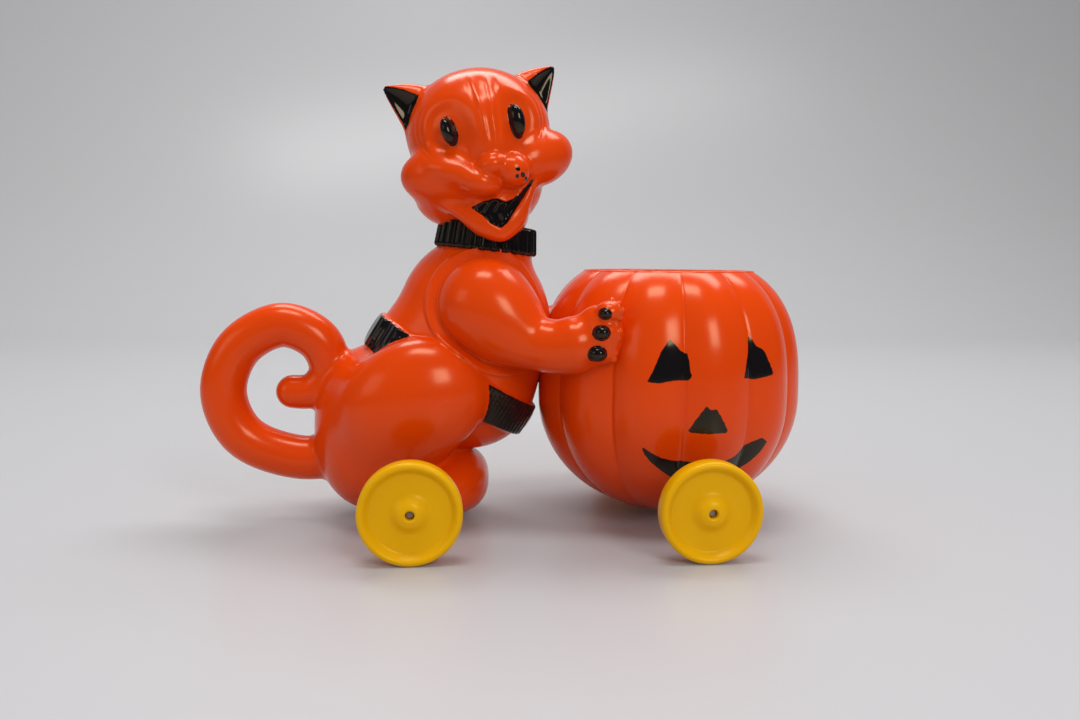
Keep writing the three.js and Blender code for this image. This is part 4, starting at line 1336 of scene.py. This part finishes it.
class DISH_OT_head(bpy.types.Operator):
    """Make the two halves of the cat's head with its ears, eyes and mouth"""

    bl_idname = "dish.head"
    bl_label = "Make Head"

    def execute(self, context):
        s = context.scene.dish_shape
        cell = s.head_cell * 1
        points, quads = level_surface(head, *HEAD_BOX, cell)
        moulded_halves("cat_head", points, quads, s.seam_depth, head_paint)
        return {"FINISHED"}


class DISH_OT_collar(bpy.types.Operator):
    """Make the two halves of the ribbed collar"""

    bl_idname = "dish.collar"
    bl_label = "Make Collar"

    def execute(self, context):
        s = context.scene.dish_shape
        points, quads = collar_ring(s.collar_ribs, s.collar_rib_depth)
        moulded_halves("collar", points, quads, s.seam_depth, all_painted)
        return {"FINISHED"}


class DISH_OT_pumpkin(bpy.types.Operator):
    """Make the two halves of the ribbed pumpkin bowl with its painted face"""

    bl_idname = "dish.pumpkin"
    bl_label = "Make Pumpkin"

    def execute(self, context):
        s = context.scene.dish_shape
        for half, side in SIDES:
            points, quads = pumpkin_half(side, s.rib_count, s.rib_depth, s.rib_turn)
            mesh = mesh_of(f"pumpkin_{half}", points, quads)
            tidy_mesh(mesh)
            finish_half(mesh, half, pumpkin_face)
        return {"FINISHED"}


class DISH_OT_running_gear(bpy.types.Operator):
    """Make the four wheels and the two axles"""

    bl_idname = "dish.running_gear"
    bl_label = "Make Wheels and Axles"

    def execute(self, context):
        for end in ("rear", "front"):
            wheelset(end, context.scene.dish_wheels)
        return {"FINISHED"}


class DISH_OT_stage(bpy.types.Operator):
    """Make the floor, the backdrop, the lights and the camera"""

    bl_idname = "dish.stage"
    bl_label = "Make Stage"

    def execute(self, context):
        s = context.scene.dish_stage
        context.scene.view_settings.view_transform = "Standard"
        backdrop_sheet(s.floor)
        light_up(context.scene, s.key_power, s.fill)
        place_camera(context.scene, s)
        return {"FINISHED"}


STEPS = (
    DISH_OT_finishes,
    DISH_OT_body,
    DISH_OT_head,
    DISH_OT_collar,
    DISH_OT_pumpkin,
    DISH_OT_running_gear,
    DISH_OT_stage,
)
SETTINGS = {
    "dish_shape": DISH_PG_shape,
    "dish_wheels": DISH_PG_wheels,
    "dish_finish": DISH_PG_finish,
    "dish_stage": DISH_PG_stage,
}


class DISH_PT_sidebar(bpy.types.Panel):
    """The dish's settings, and the steps that make it"""

    bl_idname = "DISH_PT_sidebar"
    bl_label = "Candy Dish"
    bl_space_type = "VIEW_3D"
    bl_region_type = "UI"
    bl_category = "Candy Dish"

    def draw(self, context):
        for name, group in SETTINGS.items():
            box = self.layout.box()
            for key in group.__annotations__:
                box.prop(getattr(context.scene, name), key)
        for step in STEPS:
            self.layout.operator(step.bl_idname)


def register():
    """Registers the settings, the steps and the panel."""
    for name, group in SETTINGS.items():
        bpy.utils.register_class(group)
        setattr(bpy.types.Scene, name, bpy.props.PointerProperty(type=group))
    for cls in (*STEPS, DISH_PT_sidebar):
        bpy.utils.register_class(cls)


def unregister():
    """Takes away what register added."""
    for cls in reversed((*STEPS, DISH_PT_sidebar)):
        bpy.utils.unregister_class(cls)
    for name, group in SETTINGS.items():
        delattr(bpy.types.Scene, name)
        bpy.utils.unregister_class(group)


def main():
    """Makes the whole dish and its stage."""
    register()
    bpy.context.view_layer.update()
    for step in STEPS:
        group, name = step.bl_idname.split(".")
        getattr(getattr(bpy.ops, group), name)()


if __name__ == "__main__":
    main()
